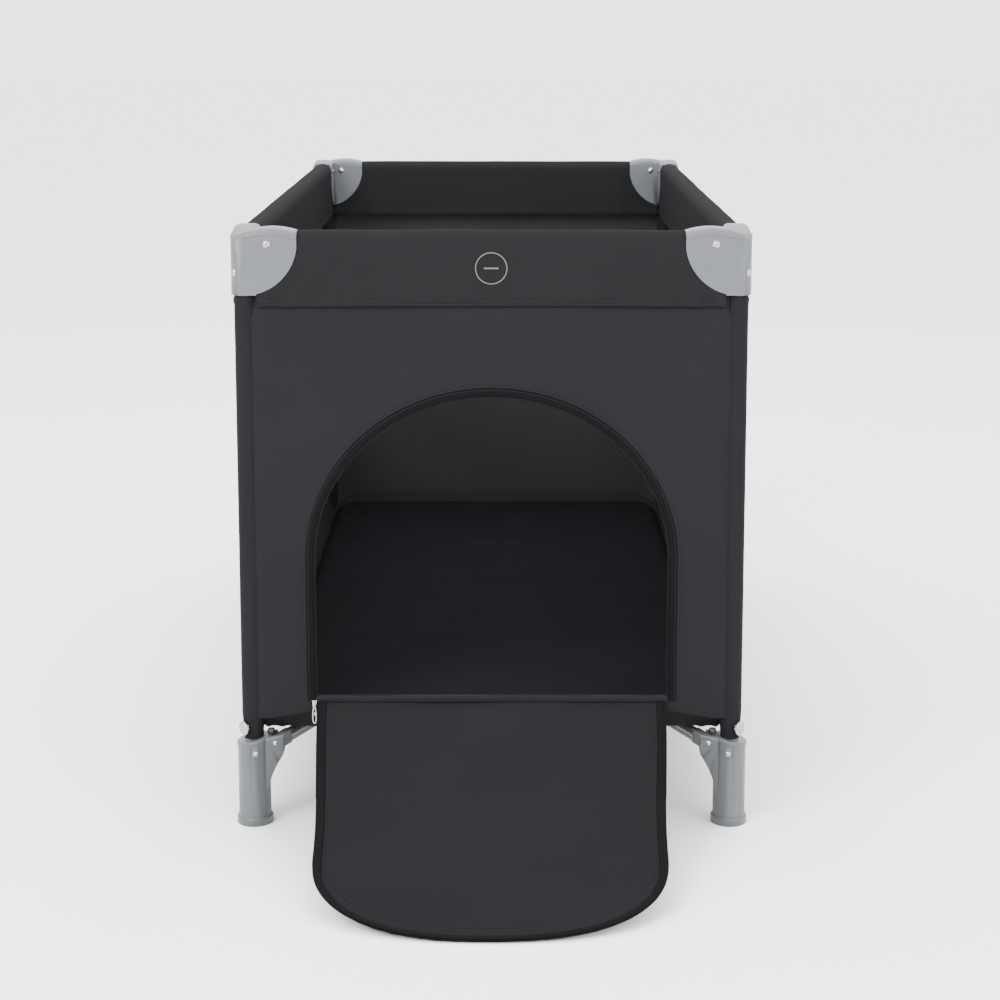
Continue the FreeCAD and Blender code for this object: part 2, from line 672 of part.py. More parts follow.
def door_flap(nodes):
    """The flap's upper and lower panels, hanging out of the doorway to the floor."""
    sheet = flap_outline().extrude(Vector(0, 0, FLAP_THICKNESS))
    sheet.translate(Vector(0, 0, -FLAP_THICKNESS / 2))
    wide = 2 * FLAP_TOP_HALF
    deep = FLAP_THICKNESS
    upper = sheet.common(box(-wide, wide, -(FLAP_CREASE - CREASE_GAP), 0, -deep, deep))
    lower = sheet.common(box(-wide, wide, -2 * FLAP_LENGTH, -(FLAP_CREASE + CREASE_GAP), -deep, deep))
    lower.translate(Vector(0, FLAP_CREASE, 0))
    slope = math.radians(FLAP_UPPER_SLOPE)
    crease = FLAP_HINGE - Vector(0, math.cos(slope), math.sin(slope)) * FLAP_CREASE
    lower_slope = math.degrees(math.asin((crease.z - FLAP_TIP_Z) / (FLAP_LENGTH - FLAP_CREASE)))
    upper.rotate(Vector(0, 0, 0), Vector(1, 0, 0), FLAP_UPPER_SLOPE)
    upper.translate(FLAP_HINGE)
    lower.rotate(Vector(0, 0, 0), Vector(1, 0, 0), lower_slope)
    lower.translate(crease)
    nodes["door_flap_upper"] = upper
    nodes["door_flap_lower"] = lower


def zip_parts(nodes):
    """Zip end stop, slider and pull at the foot of the door's left side."""
    face = -POST_Y - SLEEVE_OUTER - 0.5
    near = face - ZIP_GAP
    stop = box(
        ZIP_X - ZIP_STOP_HALF, ZIP_X + ZIP_STOP_HALF,
        face - ZIP_STOP_DEPTH, near, ZIP_STOP_BOTTOM, ZIP_STOP_TOP,
    )
    slider = box(
        ZIP_X - SLIDER_HALF, ZIP_X + SLIDER_HALF,
        face - SLIDER_DEPTH, near, SLIDER_BOTTOM, SLIDER_TOP,
    )
    upright = [e for e in slider.Edges if abs(e.tangentAt(e.FirstParameter).z) > 0.99]
    slider = slider.makeFillet(SLIDER_ROUND, upright)
    pull_y = face - PULL_DEPTH
    half = PULL_THICKNESS / 2
    pull = box(ZIP_X - PULL_HALF, ZIP_X + PULL_HALF, pull_y - half, pull_y + half, PULL_BOTTOM, PULL_TOP)
    ends = [e for e in pull.Edges if abs(e.tangentAt(e.FirstParameter).y) > 0.99]
    pull = pull.makeFillet(PULL_ROUND, ends)
    eye_half = Vector(0, PULL_THICKNESS, 0)
    eye_centre = Vector(ZIP_X, pull_y, PULL_EYE_Z)
    eye = rod(PULL_EYE_RADIUS, eye_centre - eye_half, eye_centre + eye_half)
    nodes["zip_end_stop"] = stop
    nodes["zip_slider"] = slider
    nodes["zip_pull"] = pull.cut(eye)


def build():
    """All nodes of the cot, by name."""
    nodes = {}
    bar = floor_bar()
    makers = (
        ("post_tube", post_tube()),
        ("corner_fitting", corner_fitting()),
        ("foot_boot", foot_boot()),
        ("fasteners", fasteners()),
        ("post_sleeve", post_sleeve()),
        ("floor_bar", bar),
    )
    for place, (sx, sy) in POSTS.items():
        for name, shape in makers:
            nodes[f"{name}_{place}"] = at_corner(shape, sx, sy)
    rail_parts(nodes)
    nodes["hub_body"] = hub_body()
    nodes["hub_foot"] = hub_foot()
    nodes["hub_strap"] = hub_strap()
    walls(nodes)
    door_flap(nodes)
    zip_parts(nodes)
    return nodes


os.makedirs("parts", exist_ok=True)
for node_name, node_shape in build().items():
    node_shape.exportStep(f"parts/{node_name}.step")
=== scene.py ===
"""Looks of a folding travel cot: cloth walls, padded rail covers, an arched zip door and moulded fittings."""
import json
import logging
import math
from collections.abc import Callable
from dataclasses import dataclass, field
from enum import Enum

import bmesh
import bpy
from mathutils import Matrix, Vector, noise


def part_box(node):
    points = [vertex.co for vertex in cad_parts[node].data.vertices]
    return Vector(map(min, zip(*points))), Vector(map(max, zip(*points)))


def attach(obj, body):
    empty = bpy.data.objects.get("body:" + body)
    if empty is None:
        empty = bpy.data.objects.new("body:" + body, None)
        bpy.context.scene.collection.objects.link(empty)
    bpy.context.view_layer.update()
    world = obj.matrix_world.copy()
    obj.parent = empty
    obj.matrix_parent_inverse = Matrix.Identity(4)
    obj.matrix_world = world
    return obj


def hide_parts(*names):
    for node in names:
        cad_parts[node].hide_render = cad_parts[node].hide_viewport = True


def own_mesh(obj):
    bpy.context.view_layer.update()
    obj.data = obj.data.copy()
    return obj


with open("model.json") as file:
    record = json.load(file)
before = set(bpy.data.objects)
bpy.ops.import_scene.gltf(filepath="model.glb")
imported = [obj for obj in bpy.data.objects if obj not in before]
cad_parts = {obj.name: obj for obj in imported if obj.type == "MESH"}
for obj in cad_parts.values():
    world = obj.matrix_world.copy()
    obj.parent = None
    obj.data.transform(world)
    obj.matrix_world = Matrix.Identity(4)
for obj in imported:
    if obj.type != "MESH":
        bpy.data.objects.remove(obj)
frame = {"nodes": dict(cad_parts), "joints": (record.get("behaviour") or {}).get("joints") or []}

LOG = logging.getLogger("travel_cot")
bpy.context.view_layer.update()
MM = 0.001
FOLD = "frame_fold"
CLOTH_IOR = 1.15
SHEEN_ROUGHNESS = 0.45
CLOTH_BUMP = 0.4 * MM
SHELL_BUMP = 0.15 * MM
STITCH = Vector((2.2 * MM, 0.6 * MM, 0.6 * MM))
STITCH_PITCH = 3.4 * MM
TOOTH_PITCH = 2.4 * MM
Shape = Callable[[float, float], Vector]
Edge = Callable[[float], Vector]


# ---------------------------------------------------------------- sizes read from the frame

def middle(node: str) -> Vector:
    """Centre of a node's box at rest."""
    low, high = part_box(node)
    return (low + high) / 2


POST = Vector((-middle("post_tube_front_left").x, -middle("post_tube_front_left").y))
FOLD_DEGREES = next(j for j in frame["joints"] if j["name"] == FOLD)["range_deg"][1]
WALL_FACE = -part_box("front_panel")[0].y


def joint_place(name: str) -> Vector:
    """Where a hinge stands at rest.

    Args:
        name: the hinge's name in the record.

    Returns:
        Its point in the row frame.
    """
    return Vector(next(j for j in frame["joints"] if j["name"] == name)["pos_m"])


RAIL_HINGE = joint_place("rail_front_left_fold")
LATCH_HINGE = joint_place("latch_front_level")
LONG_HINGE = joint_place("rail_left_front_fold")
FLAP_HINGE = joint_place("door_fold")
FLAP_CREASE = joint_place("door_crease")
SHORT_RAIL = abs(RAIL_HINGE.x - LATCH_HINGE.x)
LONG_RAIL = abs(LONG_HINGE.y) - abs(LATCH_HINGE.x)
GATHER = 1 - math.cos(math.radians(FOLD_DEGREES))
KEEP_SHORT = 1 - SHORT_RAIL * GATHER / POST.x
KEEP_LONG = 1 - LONG_RAIL * GATHER / POST.y


class Corner(Enum):
    """The four posts, with their signs along X and Y."""

    FRONT_LEFT = ("front_left", -1, -1)
    FRONT_RIGHT = ("front_right", 1, -1)
    BACK_LEFT = ("back_left", -1, 1)
    BACK_RIGHT = ("back_right", 1, 1)

    @property
    def label(self) -> str:
        """The corner's name in the frame."""
        return self.value[0]

    @property
    def axis(self) -> Vector:
        """The post's place on the floor."""
        return Vector((self.value[1] * POST.x, self.value[2] * POST.y, 0))


class Weave(Enum):
    """Kinds of cloth, by threads per metre and how far the threads stand out."""

    OXFORD = (1500.0, 0.10)
    SATIN = (2200.0, 0.06)
    QUILT = (1100.0, 0.14)
    WEBBING = (520.0, 0.35)

    @property
    def threads(self) -> float:
        """Threads per metre."""
        return self.value[0]

    @property
    def relief(self) -> float:
        """Bump strength."""
        return self.value[1]


# ---------------------------------------------------------------- shader groups and finishes

class Nodes:
    """Short ways to build a node tree."""

    def __init__(self, tree: bpy.types.NodeTree) -> None:
        """Keep the tree that nodes are added to."""
        self.tree = tree

    def add(self, kind: str, **values: object) -> bpy.types.Node:
        """Add a node.

        Args:
            kind: the node's type name after "ShaderNode".
            values: properties set on the node.

        Returns:
            The node.
        """
        node = self.tree.nodes.new("ShaderNode" + kind)
        for key, value in values.items():
            setattr(node, key, value)
        return node

    def link(self, source: bpy.types.NodeSocket, target: bpy.types.NodeSocket) -> None:
        """Join two sockets."""
        self.tree.links.new(source, target)

    def math(self, operation: str, a: object, b: object = 0.0, clamp: bool = False) -> bpy.types.NodeSocket:
        """Add a Math node; a and b are sockets or numbers, and its result is returned."""
        node = self.add("Math", operation=operation, use_clamp=clamp)
        for socket, value in zip(node.inputs, (a, b)):
            if isinstance(value, bpy.types.NodeSocket):
                self.link(value, socket)
            else:
                socket.default_value = value
        return node.outputs[0]

    def noise(self, place: bpy.types.NodeSocket, detail: float, scale: float | None = None) -> bpy.types.Node:
        """Add a Noise Texture read at place; without a scale the caller links one."""
        node = self.add("TexNoise")
        node.inputs["Detail"].default_value = detail
        if scale is not None:
            node.inputs["Scale"].default_value = scale
        self.link(place, node.inputs["Vector"])
        return node

    def mix(self, share: object, low: object, high: object) -> bpy.types.NodeSocket:
        """Mix two colours, given as sockets or values, by share, and return the colour."""
        node = self.add("Mix", data_type="RGBA")
        for socket, value in ((node.inputs[0], share), (node.inputs[6], low), (node.inputs[7], high)):
            if isinstance(value, bpy.types.NodeSocket):
                self.link(value, socket)
            else:
                socket.default_value = value
        return node.outputs[2]


def group_shell(name: str, inputs: dict[str, tuple[str, object]], outputs: tuple[str, ...]) -> tuple:
    """Start a shader group with named sockets.

    Args:
        name: the group's name.
        inputs: socket name to (kind, default value).
        outputs: names of the float outputs.

    Returns:
        The tree, its Nodes helper, and its input and output nodes.
    """
    tree = bpy.data.node_groups.new(name, "ShaderNodeTree")
    for label, (kind, value) in inputs.items():
        socket = tree.interface.new_socket(name=label, in_out="INPUT", socket_type=kind)
        if value is not None:
            socket.default_value = value
    for label in outputs:
        tree.interface.new_socket(name=label, in_out="OUTPUT", socket_type="NodeSocketFloat")
    kit = Nodes(tree)
    return tree, kit, tree.nodes.new("NodeGroupInput"), tree.nodes.new("NodeGroupOutput")


def weave_group() -> bpy.types.NodeTree:
    """Plain weave on a flat cloth map: threads over and under, slubs and slow blotches."""
    name = "cot_weave"
    if name in bpy.data.node_groups:
        return bpy.data.node_groups[name]
    tree, kit, given, out = group_shell(
        name,
        {"Vector": ("NodeSocketVector", None), "Threads": ("NodeSocketFloat", 1500.0)},
        ("Height", "Shade"),
    )
    split = kit.add("SeparateXYZ")
    kit.link(given.outputs["Vector"], split.inputs[0])
    turn = kit.math("MULTIPLY", given.outputs["Threads"], math.pi)
    warp = kit.math("SINE", kit.math("MULTIPLY", split.outputs[0], turn))
    weft = kit.math("SINE", kit.math("MULTIPLY", split.outputs[1], turn))
    cross = kit.math("MULTIPLY", warp, weft)
    slub = kit.noise(given.outputs["Vector"], 3.0, 260.0)
    height = kit.math("ADD", kit.math("MULTIPLY", cross, 0.32), slub.outputs["Fac"])
    kit.link(height, out.inputs["Height"])
    blotch = kit.noise(given.outputs["Vector"], 4.0, 7.0)
    slow = kit.math("MULTIPLY", blotch.outputs["Fac"], 0.7)
    fine = kit.math("MULTIPLY", height, 0.3)
    kit.link(kit.math("ADD", slow, fine, clamp=True), out.inputs["Shade"])
    return tree


def wear_group() -> bpy.types.NodeTree:
    """Slow mottling, fine grain and small scuffs of a moulded or coated surface."""
    name = "cot_wear"
    if name in bpy.data.node_groups:
        return bpy.data.node_groups[name]
    tree, kit, given, out = group_shell(
        name,
        {"Vector": ("NodeSocketVector", None), "Grain": ("NodeSocketFloat", 900.0)},
        ("Height", "Mottle", "Scuff"),
    )
    grain = kit.noise(given.outputs["Vector"], 2.0)
    kit.link(given.outputs["Grain"], grain.inputs["Scale"])
    kit.link(grain.outputs["Fac"], out.inputs["Height"])
    mottle = kit.noise(given.outputs["Vector"], 5.0, 22.0)
    kit.link(mottle.outputs["Fac"], out.inputs["Mottle"])
    scuff = kit.noise(given.outputs["Vector"], 6.0, 120.0)
    scuff.inputs["Roughness"].default_value = 0.75
    kit.link(kit.math("GREATER_THAN", scuff.outputs["Fac"], 0.66), out.inputs["Scuff"])
    return tree


def tinted(colour: tuple[float, float, float], share: float) -> tuple[float, float, float, float]:
    """The colour made lighter or darker by share, with full alpha."""
    return (*(min(1.0, c * share) for c in colour), 1.0)


def blank_material(name: str) -> tuple[bpy.types.Material, Nodes, bpy.types.Node]:
    """A new material with its Nodes helper and its Principled shader."""
    made = bpy.data.materials.new(name)
    made.use_nodes = True
    return made, Nodes(made.node_tree), made.node_tree.nodes["Principled BSDF"]


@dataclass(frozen=True)
class ClothFinish:
    """A woven cloth: its colour, weave, gloss and sheen, and how far its colour varies."""

    name: str
    slot: str
    colour: tuple[float, float, float]
    weave: Weave
    roughness: float = 0.6
    sheen: float = 0.02
    specular: float = 0.12
    contrast: float = 0.18

    def material(self) -> bpy.types.Material:
        """The finish's material, built once."""
        if self.name in bpy.data.materials:
            return bpy.data.materials[self.name]
        made, kit, shader = blank_material(self.name)
        shader.inputs["Sheen Weight"].default_value = self.sheen
        shader.inputs["Sheen Roughness"].default_value = SHEEN_ROUGHNESS
        shader.inputs["IOR"].default_value = CLOTH_IOR
        shader.inputs["Specular IOR Level"].default_value = self.specular
        chart = kit.add("UVMap", uv_map="cloth")
        weave = kit.add("Group", node_tree=weave_group())
        weave.inputs["Threads"].default_value = self.weave.threads
        kit.link(chart.outputs["UV"], weave.inputs["Vector"])
        low, high = tinted(self.colour, 1 - self.contrast), tinted(self.colour, 1 + self.contrast)
        base = kit.mix(weave.outputs["Shade"], low, high)
        kit.link(base, shader.inputs["Base Color"])
        rough = kit.math("MULTIPLY", weave.outputs["Shade"], 0.16)
        kit.link(kit.math("ADD", rough, self.roughness - 0.08), shader.inputs["Roughness"])
        bump = kit.add("Bump")
        bump.inputs["Strength"].default_value = self.weave.relief
        bump.inputs["Distance"].default_value = CLOTH_BUMP
        kit.link(weave.outputs["Height"], bump.inputs["Height"])
        kit.link(bump.outputs["Normal"], shader.inputs["Normal"])
        return made


@dataclass(frozen=True)
class NetFinish:
    """A see-through knitted net."""

    name: str
    slot: str
    colour: tuple[float, float, float]
    holes: float = 420.0
    cord: float = 0.36

    def material(self) -> bpy.types.Material:
        """The net's material, built once: round holes in staggered rows."""
        if self.name in bpy.data.materials:
            return bpy.data.materials[self.name]
        made, kit, shader = blank_material(self.name)
        shader.inputs["Roughness"].default_value = 0.7
        shader.inputs["Sheen Weight"].default_value = 0.2
        chart = kit.add("UVMap", uv_map="cloth")
        split = kit.add("SeparateXYZ")
        kit.link(chart.outputs["UV"], split.inputs[0])
        turn = self.holes * math.pi
        waves = [kit.math("SINE", kit.math("MULTIPLY", split.outputs[i], turn)) for i in (0, 1)]
        hole = kit.math("MULTIPLY", waves[0], waves[1])
        cord = kit.math("LESS_THAN", kit.math("ABSOLUTE", hole), self.cord)
        kit.link(cord, shader.inputs["Alpha"])
        blotch = kit.add("TexNoise")
        blotch.inputs["Scale"].default_value = 6.0
        kit.link(chart.outputs["UV"], blotch.inputs["Vector"])
        low, high = tinted(self.colour, 0.85), tinted(self.colour, 1.15)
        kit.link(kit.mix(blotch.outputs["Fac"], low, high), shader.inputs["Base Color"])
        return made


@dataclass(frozen=True)
class HardFinish:
    """A moulded, coated or plated surface with grain, mottling and small scuffs."""

    name: str
    slot: str
    colour: tuple[float, float, float]
    roughness: float = 0.4
    metallic: float = 0.0
    grain: float = 900.0
    relief: float = 0.08
    coat: float = 0.0
    contrast: float = 0.07
    specular: float = 0.5

    def material(self) -> bpy.types.Material:
        """The finish's material, built once."""
        if self.name in bpy.data.materials:
            return bpy.data.materials[self.name]
        made, kit, shader = blank_material(self.name)
        shader.inputs["Metallic"].default_value = self.metallic
        shader.inputs["Specular IOR Level"].default_value = self.specular
        shader.inputs["Coat Weight"].default_value = self.coat
        shader.inputs["Coat Roughness"].default_value = 0.25
        place = kit.add("TexCoord")
        wear = kit.add("Group", node_tree=wear_group())
        wear.inputs["Grain"].default_value = self.grain
        kit.link(place.outputs["Object"], wear.inputs["Vector"])
        low, high = tinted(self.colour, 1 - self.contrast), tinted(self.colour, 1 + self.contrast)
        base = kit.mix(wear.outputs["Mottle"], low, high)
        kit.link(base, shader.inputs["Base Color"])
        rough = kit.math("MULTIPLY", wear.outputs["Mottle"], 0.12)
        rough = kit.math("ADD", rough, kit.math("MULTIPLY", wear.outputs["Scuff"], 0.06))
        kit.link(kit.math("ADD", rough, self.roughness - 0.06), shader.inputs["Roughness"])
        bump = kit.add("Bump")
        bump.inputs["Strength"].default_value = self.relief
        bump.inputs["Distance"].default_value = SHELL_BUMP
        kit.link(wear.outputs["Height"], bump.inputs["Height"])
        kit.link(bump.outputs["Normal"], shader.inputs["Normal"])
        return made


Finish = ClothFinish | NetFinish | HardFinish

PANEL = ClothFinish("panel_oxford", "panel_fabric", (0.0108, 0.0109, 0.0120), Weave.OXFORD, 0.6)
# The same oxford as the other walls, made more than twice as light: painted light for the lit inside of the
# cot seen through the door.
PAINTED_LIGHT_REAR = ClothFinish("rear_oxford", "panel_fabric", (0.0240, 0.0242, 0.0255), Weave.OXFORD, 0.6)
COVER = ClothFinish("cover_satin", "cover_fabric", (0.0112, 0.0113, 0.0122), Weave.SATIN, 0.85, 0.003, 0.05)
SLEEVE = ClothFinish("sleeve_satin", "sleeve_fabric", (0.0102, 0.0104, 0.0118), Weave.SATIN, 0.6, 0.01, 0.12)
FLAP = ClothFinish("flap_oxford", "flap_fabric", (0.0086, 0.0087, 0.0096), Weave.OXFORD, 0.6, 0.01, 0.08)
BINDING = ClothFinish("binding_tape", "flap_fabric", (0.005, 0.005, 0.0056), Weave.WEBBING, 0.65, 0.01, 0.08)
THREAD = ClothFinish("sewing_thread", "flap_fabric", (0.0180, 0.0182, 0.0195), Weave.SATIN, 0.6, 0.01, 0.1)
MAT = ClothFinish(
    "mattress_cloth", "mattress_fabric", (0.0056, 0.0058, 0.0068), Weave.QUILT, 0.8, 0.005, 0.05
)
BASE = ClothFinish("base_cloth", "floor_fabric", (0.0120, 0.0120, 0.0128), Weave.OXFORD, 0.7, 0.01, 0.08)
WEBBING = ClothFinish("pull_webbing", "webbing", (0.018, 0.018, 0.019), Weave.WEBBING, 0.6)
NET = NetFinish("side_net", "mesh", (0.02, 0.02, 0.021))
FITTING = HardFinish("fitting_shell", "fitting_plastic", (0.078, 0.083, 0.091), 0.42, relief=0.05)
BOOT = HardFinish("boot_shell", "boot_plastic", (0.066, 0.072, 0.077), 0.38, relief=0.05)
TUBE = HardFinish("tube_coat", "steel_tube", (0.15, 0.162, 0.165), 0.32, 0.35, 1400.0, 0.04, 0.3)
BRIGHT = HardFinish("nickel_plate", "bright_metal", (0.34, 0.34, 0.35), 0.22, 1.0, 2500.0, 0.03)
DARK = HardFinish("dark_moulding", "dark_plastic", (0.02, 0.02, 0.022), 0.45)
RUBBER = HardFinish("foot_rubber", "rubber", (0.012, 0.012, 0.0125), 0.75, relief=0.2)
TEETH = HardFinish("zip_teeth", "dark_plastic", (0.003, 0.003, 0.0035), 0.7, specular=0.08)
PRINT = HardFinish("pale_print", "cover_fabric", (0.06, 0.061, 0.064), 0.5, relief=0.02)


# ---------------------------------------------------------------- mesh tools

def smooth_step(t: float) -> float:
    """0 below 0, 1 above 1, and a smooth rise between."""
    t = min(1.0, max(0.0, t))
    return t * t * (3 - 2 * t)


def rounded(x: float, y: float, half_x: float, half_y: float, radius: float) -> tuple[float, float]:
    """A point of a rectangle about the origin, moved so that the rectangle's corners are round."""
    over_x, over_y = abs(x) - half_x + radius, abs(y) - half_y + radius
    if over_x <= 0 or over_y <= 0:
        return x, y
    pull = max(over_x, over_y) / math.hypot(over_x, over_y)
    return (
        math.copysign(half_x - radius + over_x * pull, x),
        math.copysign(half_y - radius + over_y * pull, y),
    )


def rumple(point: Vector, size: float, seed: float = 0.0) -> float:
    """Smooth noise from -1 to 1 with bumps about size metres across."""
    return noise.noise(point / size + Vector((seed, 2 * seed, 3 * seed)))


def chart(bm: bmesh.types.BMesh, across: Vector, up: Vector) -> None:
    """Give a cloth its flat map: metres along two directions.

    Args:
        bm: the mesh.
        across: direction of the map's first axis.
        up: direction of its second.
    """
    layer = bm.loops.layers.uv.get("cloth") or bm.loops.layers.uv.new("cloth")
    for face in bm.faces:
        for loop in face.loops:
            loop[layer].uv = (loop.vert.co.dot(across), loop.vert.co.dot(up))


def mapped_grid(columns: int, rows: int, shape: Shape, size: tuple[float, float]) -> bmesh.types.BMesh:
    """A sheet of quads whose two parameters run from 0 to 1.

    Args:
        columns: quads along the first parameter.
        rows: quads along the second.
        shape: where each pair of parameters lies.
        size: the sheet's flat size, for its cloth map.

    Returns:
        The mesh, with its map.
    """
    bm = bmesh.new()
    layer = bm.loops.layers.uv.new("cloth")
    bmesh.ops.create_grid(bm, x_segments=columns, y_segments=rows, size=0.5)
    for face in bm.faces:
        for loop in face.loops:
            co = loop.vert.co
            loop[layer].uv = ((co.x + 0.5) * size[0], (co.y + 0.5) * size[1])
    for vert in bm.verts:
        vert.co = shape(vert.co.x + 0.5, vert.co.y + 0.5)
    return bm


def faced(bm: bmesh.types.BMesh, outward: Vector) -> bmesh.types.BMesh:
    """Turn the mesh's faces over if they look away from outward on the whole."""
    total = Vector((0, 0, 0))
    bm.normal_update()
    for face in bm.faces:
        total += face.normal * face.calc_area()
    if total.dot(outward) < 0:
        bmesh.ops.reverse_faces(bm, faces=bm.faces[:])
    return bm


def thicken(bm: bmesh.types.BMesh, thickness: float) -> bmesh.types.BMesh:
    """Give an open sheet its thickness, inward of its faces, and close it."""
    bmesh.ops.solidify(bm, geom=bm.faces[:], thickness=thickness)
    bmesh.ops.remove_doubles(bm, verts=bm.verts[:], dist=0.02 * MM)
    bmesh.ops.recalc_face_normals(bm, faces=bm.faces[:])
    return bm


def walk(points: list[Vector], step: float) -> list[tuple[Vector, Vector]]:
    """Even stations along a run of points.

    Args:
        points: the run.
        step: the distance between stations.

    Returns:
        Each station and the direction there.
    """
    stations, ahead = [], step / 2
    for start, end in zip(points, points[1:]):
        span = (end - start).length
        if span == 0:
            continue
        along = (end - start) / span
        while ahead <= span:
            stations.append((start + along * ahead, along))
            ahead += step
        ahead -= span
    return stations


def bricks(stations: list[tuple[Vector, Vector]], size: Vector, normal: Vector) -> bmesh.types.BMesh:
    """Small blocks along a line: stitches or zip teeth.

    Args:
        stations: where each block goes and which way it points.
        size: length along the line, width across it, and height along the normal.
        normal: the surface's outward direction.

    Returns:
        One mesh of all the blocks.
    """
    bm = bmesh.new()
    for place, along in stations:
        side = normal.cross(along).normalized()
        turn = Matrix((along * size.x, side * size.y, along.cross(side).normalized() * size.z)).transposed()
        bmesh.ops.create_cube(bm, size=1.0, matrix=Matrix.Translation(place) @ turn.to_4x4())
    chart(bm, Vector((1, 0, 0)), Vector((0, 0, 1)))
    return bm


def strip(
    points: list[Vector], normal: Vector, half_width: float, height: float, sides: int = 10
) -> bmesh.types.BMesh:
    """A closed rounded tape laid along a run of points: one ring, extruded from point to point.

    Args:
        points: the tape's centre line.
        normal: the surface's outward direction.
        half_width: half the tape's width.
        height: how far it stands out.
        sides: points round its section.

    Returns:
        The tape, with capped ends.
    """
    bm = bmesh.new()
    layer = bm.loops.layers.uv.new("cloth")
    station = bm.verts.layers.int.new("station")
    corner = bm.verts.layers.int.new("corner")
    ring = bmesh.ops.create_circle(bm, cap_ends=True, radius=1.0, segments=sides)["verts"]
    ring.sort(key=lambda v: math.atan2(v.co.y, v.co.x))
    for k, vert in enumerate(ring):
        vert[corner] = k
    edges = bm.edges[:]
    for i, place in enumerate(points):
        if i > 0:
            grown = bmesh.ops.extrude_edge_only(bm, edges=edges)["geom"]
            ring = [v for v in grown if isinstance(v, bmesh.types.BMVert)]
            new = set(ring)
            edges = [e for e in grown if isinstance(e, bmesh.types.BMEdge) and set(e.verts) <= new]
        along = (points[min(i + 1, len(points) - 1)] - points[max(i - 1, 0)]).normalized()
        side = normal.cross(along).normalized()
        for vert in ring:
            turn = 2 * math.pi * vert[corner] / sides
            across = math.copysign(abs(math.cos(turn)) ** 0.7, math.cos(turn))
            vert.co = place + side * across * half_width + normal * math.sin(turn) * height
            vert[station] = i
    bmesh.ops.holes_fill(bm, edges=edges, sides=0)
    for face in bm.faces:
        wraps = {0, sides - 1} <= {v[corner] for v in face.verts}
        for loop in face.loops:
            k = loop.vert[corner] or (sides if wraps else 0)
            loop[layer].uv = (loop.vert[station] * 4 * MM, k * 2 * MM)
    bm.verts.layers.int.remove(bm.verts.layers.int["station"])
    bm.verts.layers.int.remove(bm.verts.layers.int["corner"])
    bmesh.ops.recalc_face_normals(bm, faces=bm.faces[:])
    return bm


def join(bm: bmesh.types.BMesh, other: bmesh.types.BMesh) -> bmesh.types.BMesh:
    """Add a second mesh to the first, and return the first."""
    spare = bpy.data.meshes.new("spare")
    other.to_mesh(spare)
    other.free()
    bm.from_mesh(spare)
    bpy.data.meshes.remove(spare)
    return bm


def softened_edges(bm: bmesh.types.BMesh, edges: list, offset: float, segments: int) -> None:
    """Round some edges of a mesh."""
    bmesh.ops.bevel(
        bm, geom=edges, offset=offset, offset_type="OFFSET", affect="EDGES",
        segments=segments, profile=0.5, material=-1, clamp_overlap=True,
    )


@dataclass(frozen=True)
class Gather:
    """How a cloth bunches up as the frame folds: along which axis, toward where, and what share is kept."""

    axis: tuple[float, float, float]
    anchor: tuple[float, float, float]
    keep: float


ACROSS = Gather((1, 0, 0), (-POST.x, 0, 0), KEEP_SHORT)
ALONG = Gather((0, 1, 0), (0, -POST.y, 0), KEEP_LONG)


@dataclass
class Tailor:
    """Turns meshes into finished pieces on their bodies, and keeps count of them."""

    made: list[str] = field(default_factory=list)

    def fit(
        self,
        bm: bmesh.types.BMesh,
        name: str,
        finish: Finish,
        body: str,
        replaces: tuple[str, ...] = (),
        gather: Gather | None = None,
        smooth_below: float = 40.0,
    ) -> bpy.types.Object:
        """Make the piece's object, dress it and hang it on its body.

        Args:
            bm: the finished mesh, in the row frame.
            name: the piece's name.
            finish: its finish, which also names its slot.
            body: the CAD body it rides.
            replaces: CAD nodes it stands for.
            gather: how it would bunch as the frame folds, if it does; no bunching is set up here, the piece
                only gets a mesh of its own.
            smooth_below: edges turning less than this many degrees are shaded smooth.

        Returns:
            The piece.
        """
        mesh = bpy.data.meshes.new(name)
        bm.to_mesh(mesh)
        bm.free()
        mesh.shade_smooth()
        mesh.set_sharp_from_angle(angle=math.radians(smooth_below))
        mesh.materials.append(finish.material())
        piece = bpy.data.objects.new(name, mesh)
        bpy.context.scene.collection.objects.link(piece)
        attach(piece, body)
        if replaces:
            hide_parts(*replaces)
        if gather:
            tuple(gather.axis)
            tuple(gather.anchor)
            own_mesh(piece)
        self.made.append(name)
        LOG.info("%s on %s, %d faces", name, body, len(mesh.polygons))
        return piece


# ---------------------------------------------------------------- moulded parts and metalwork

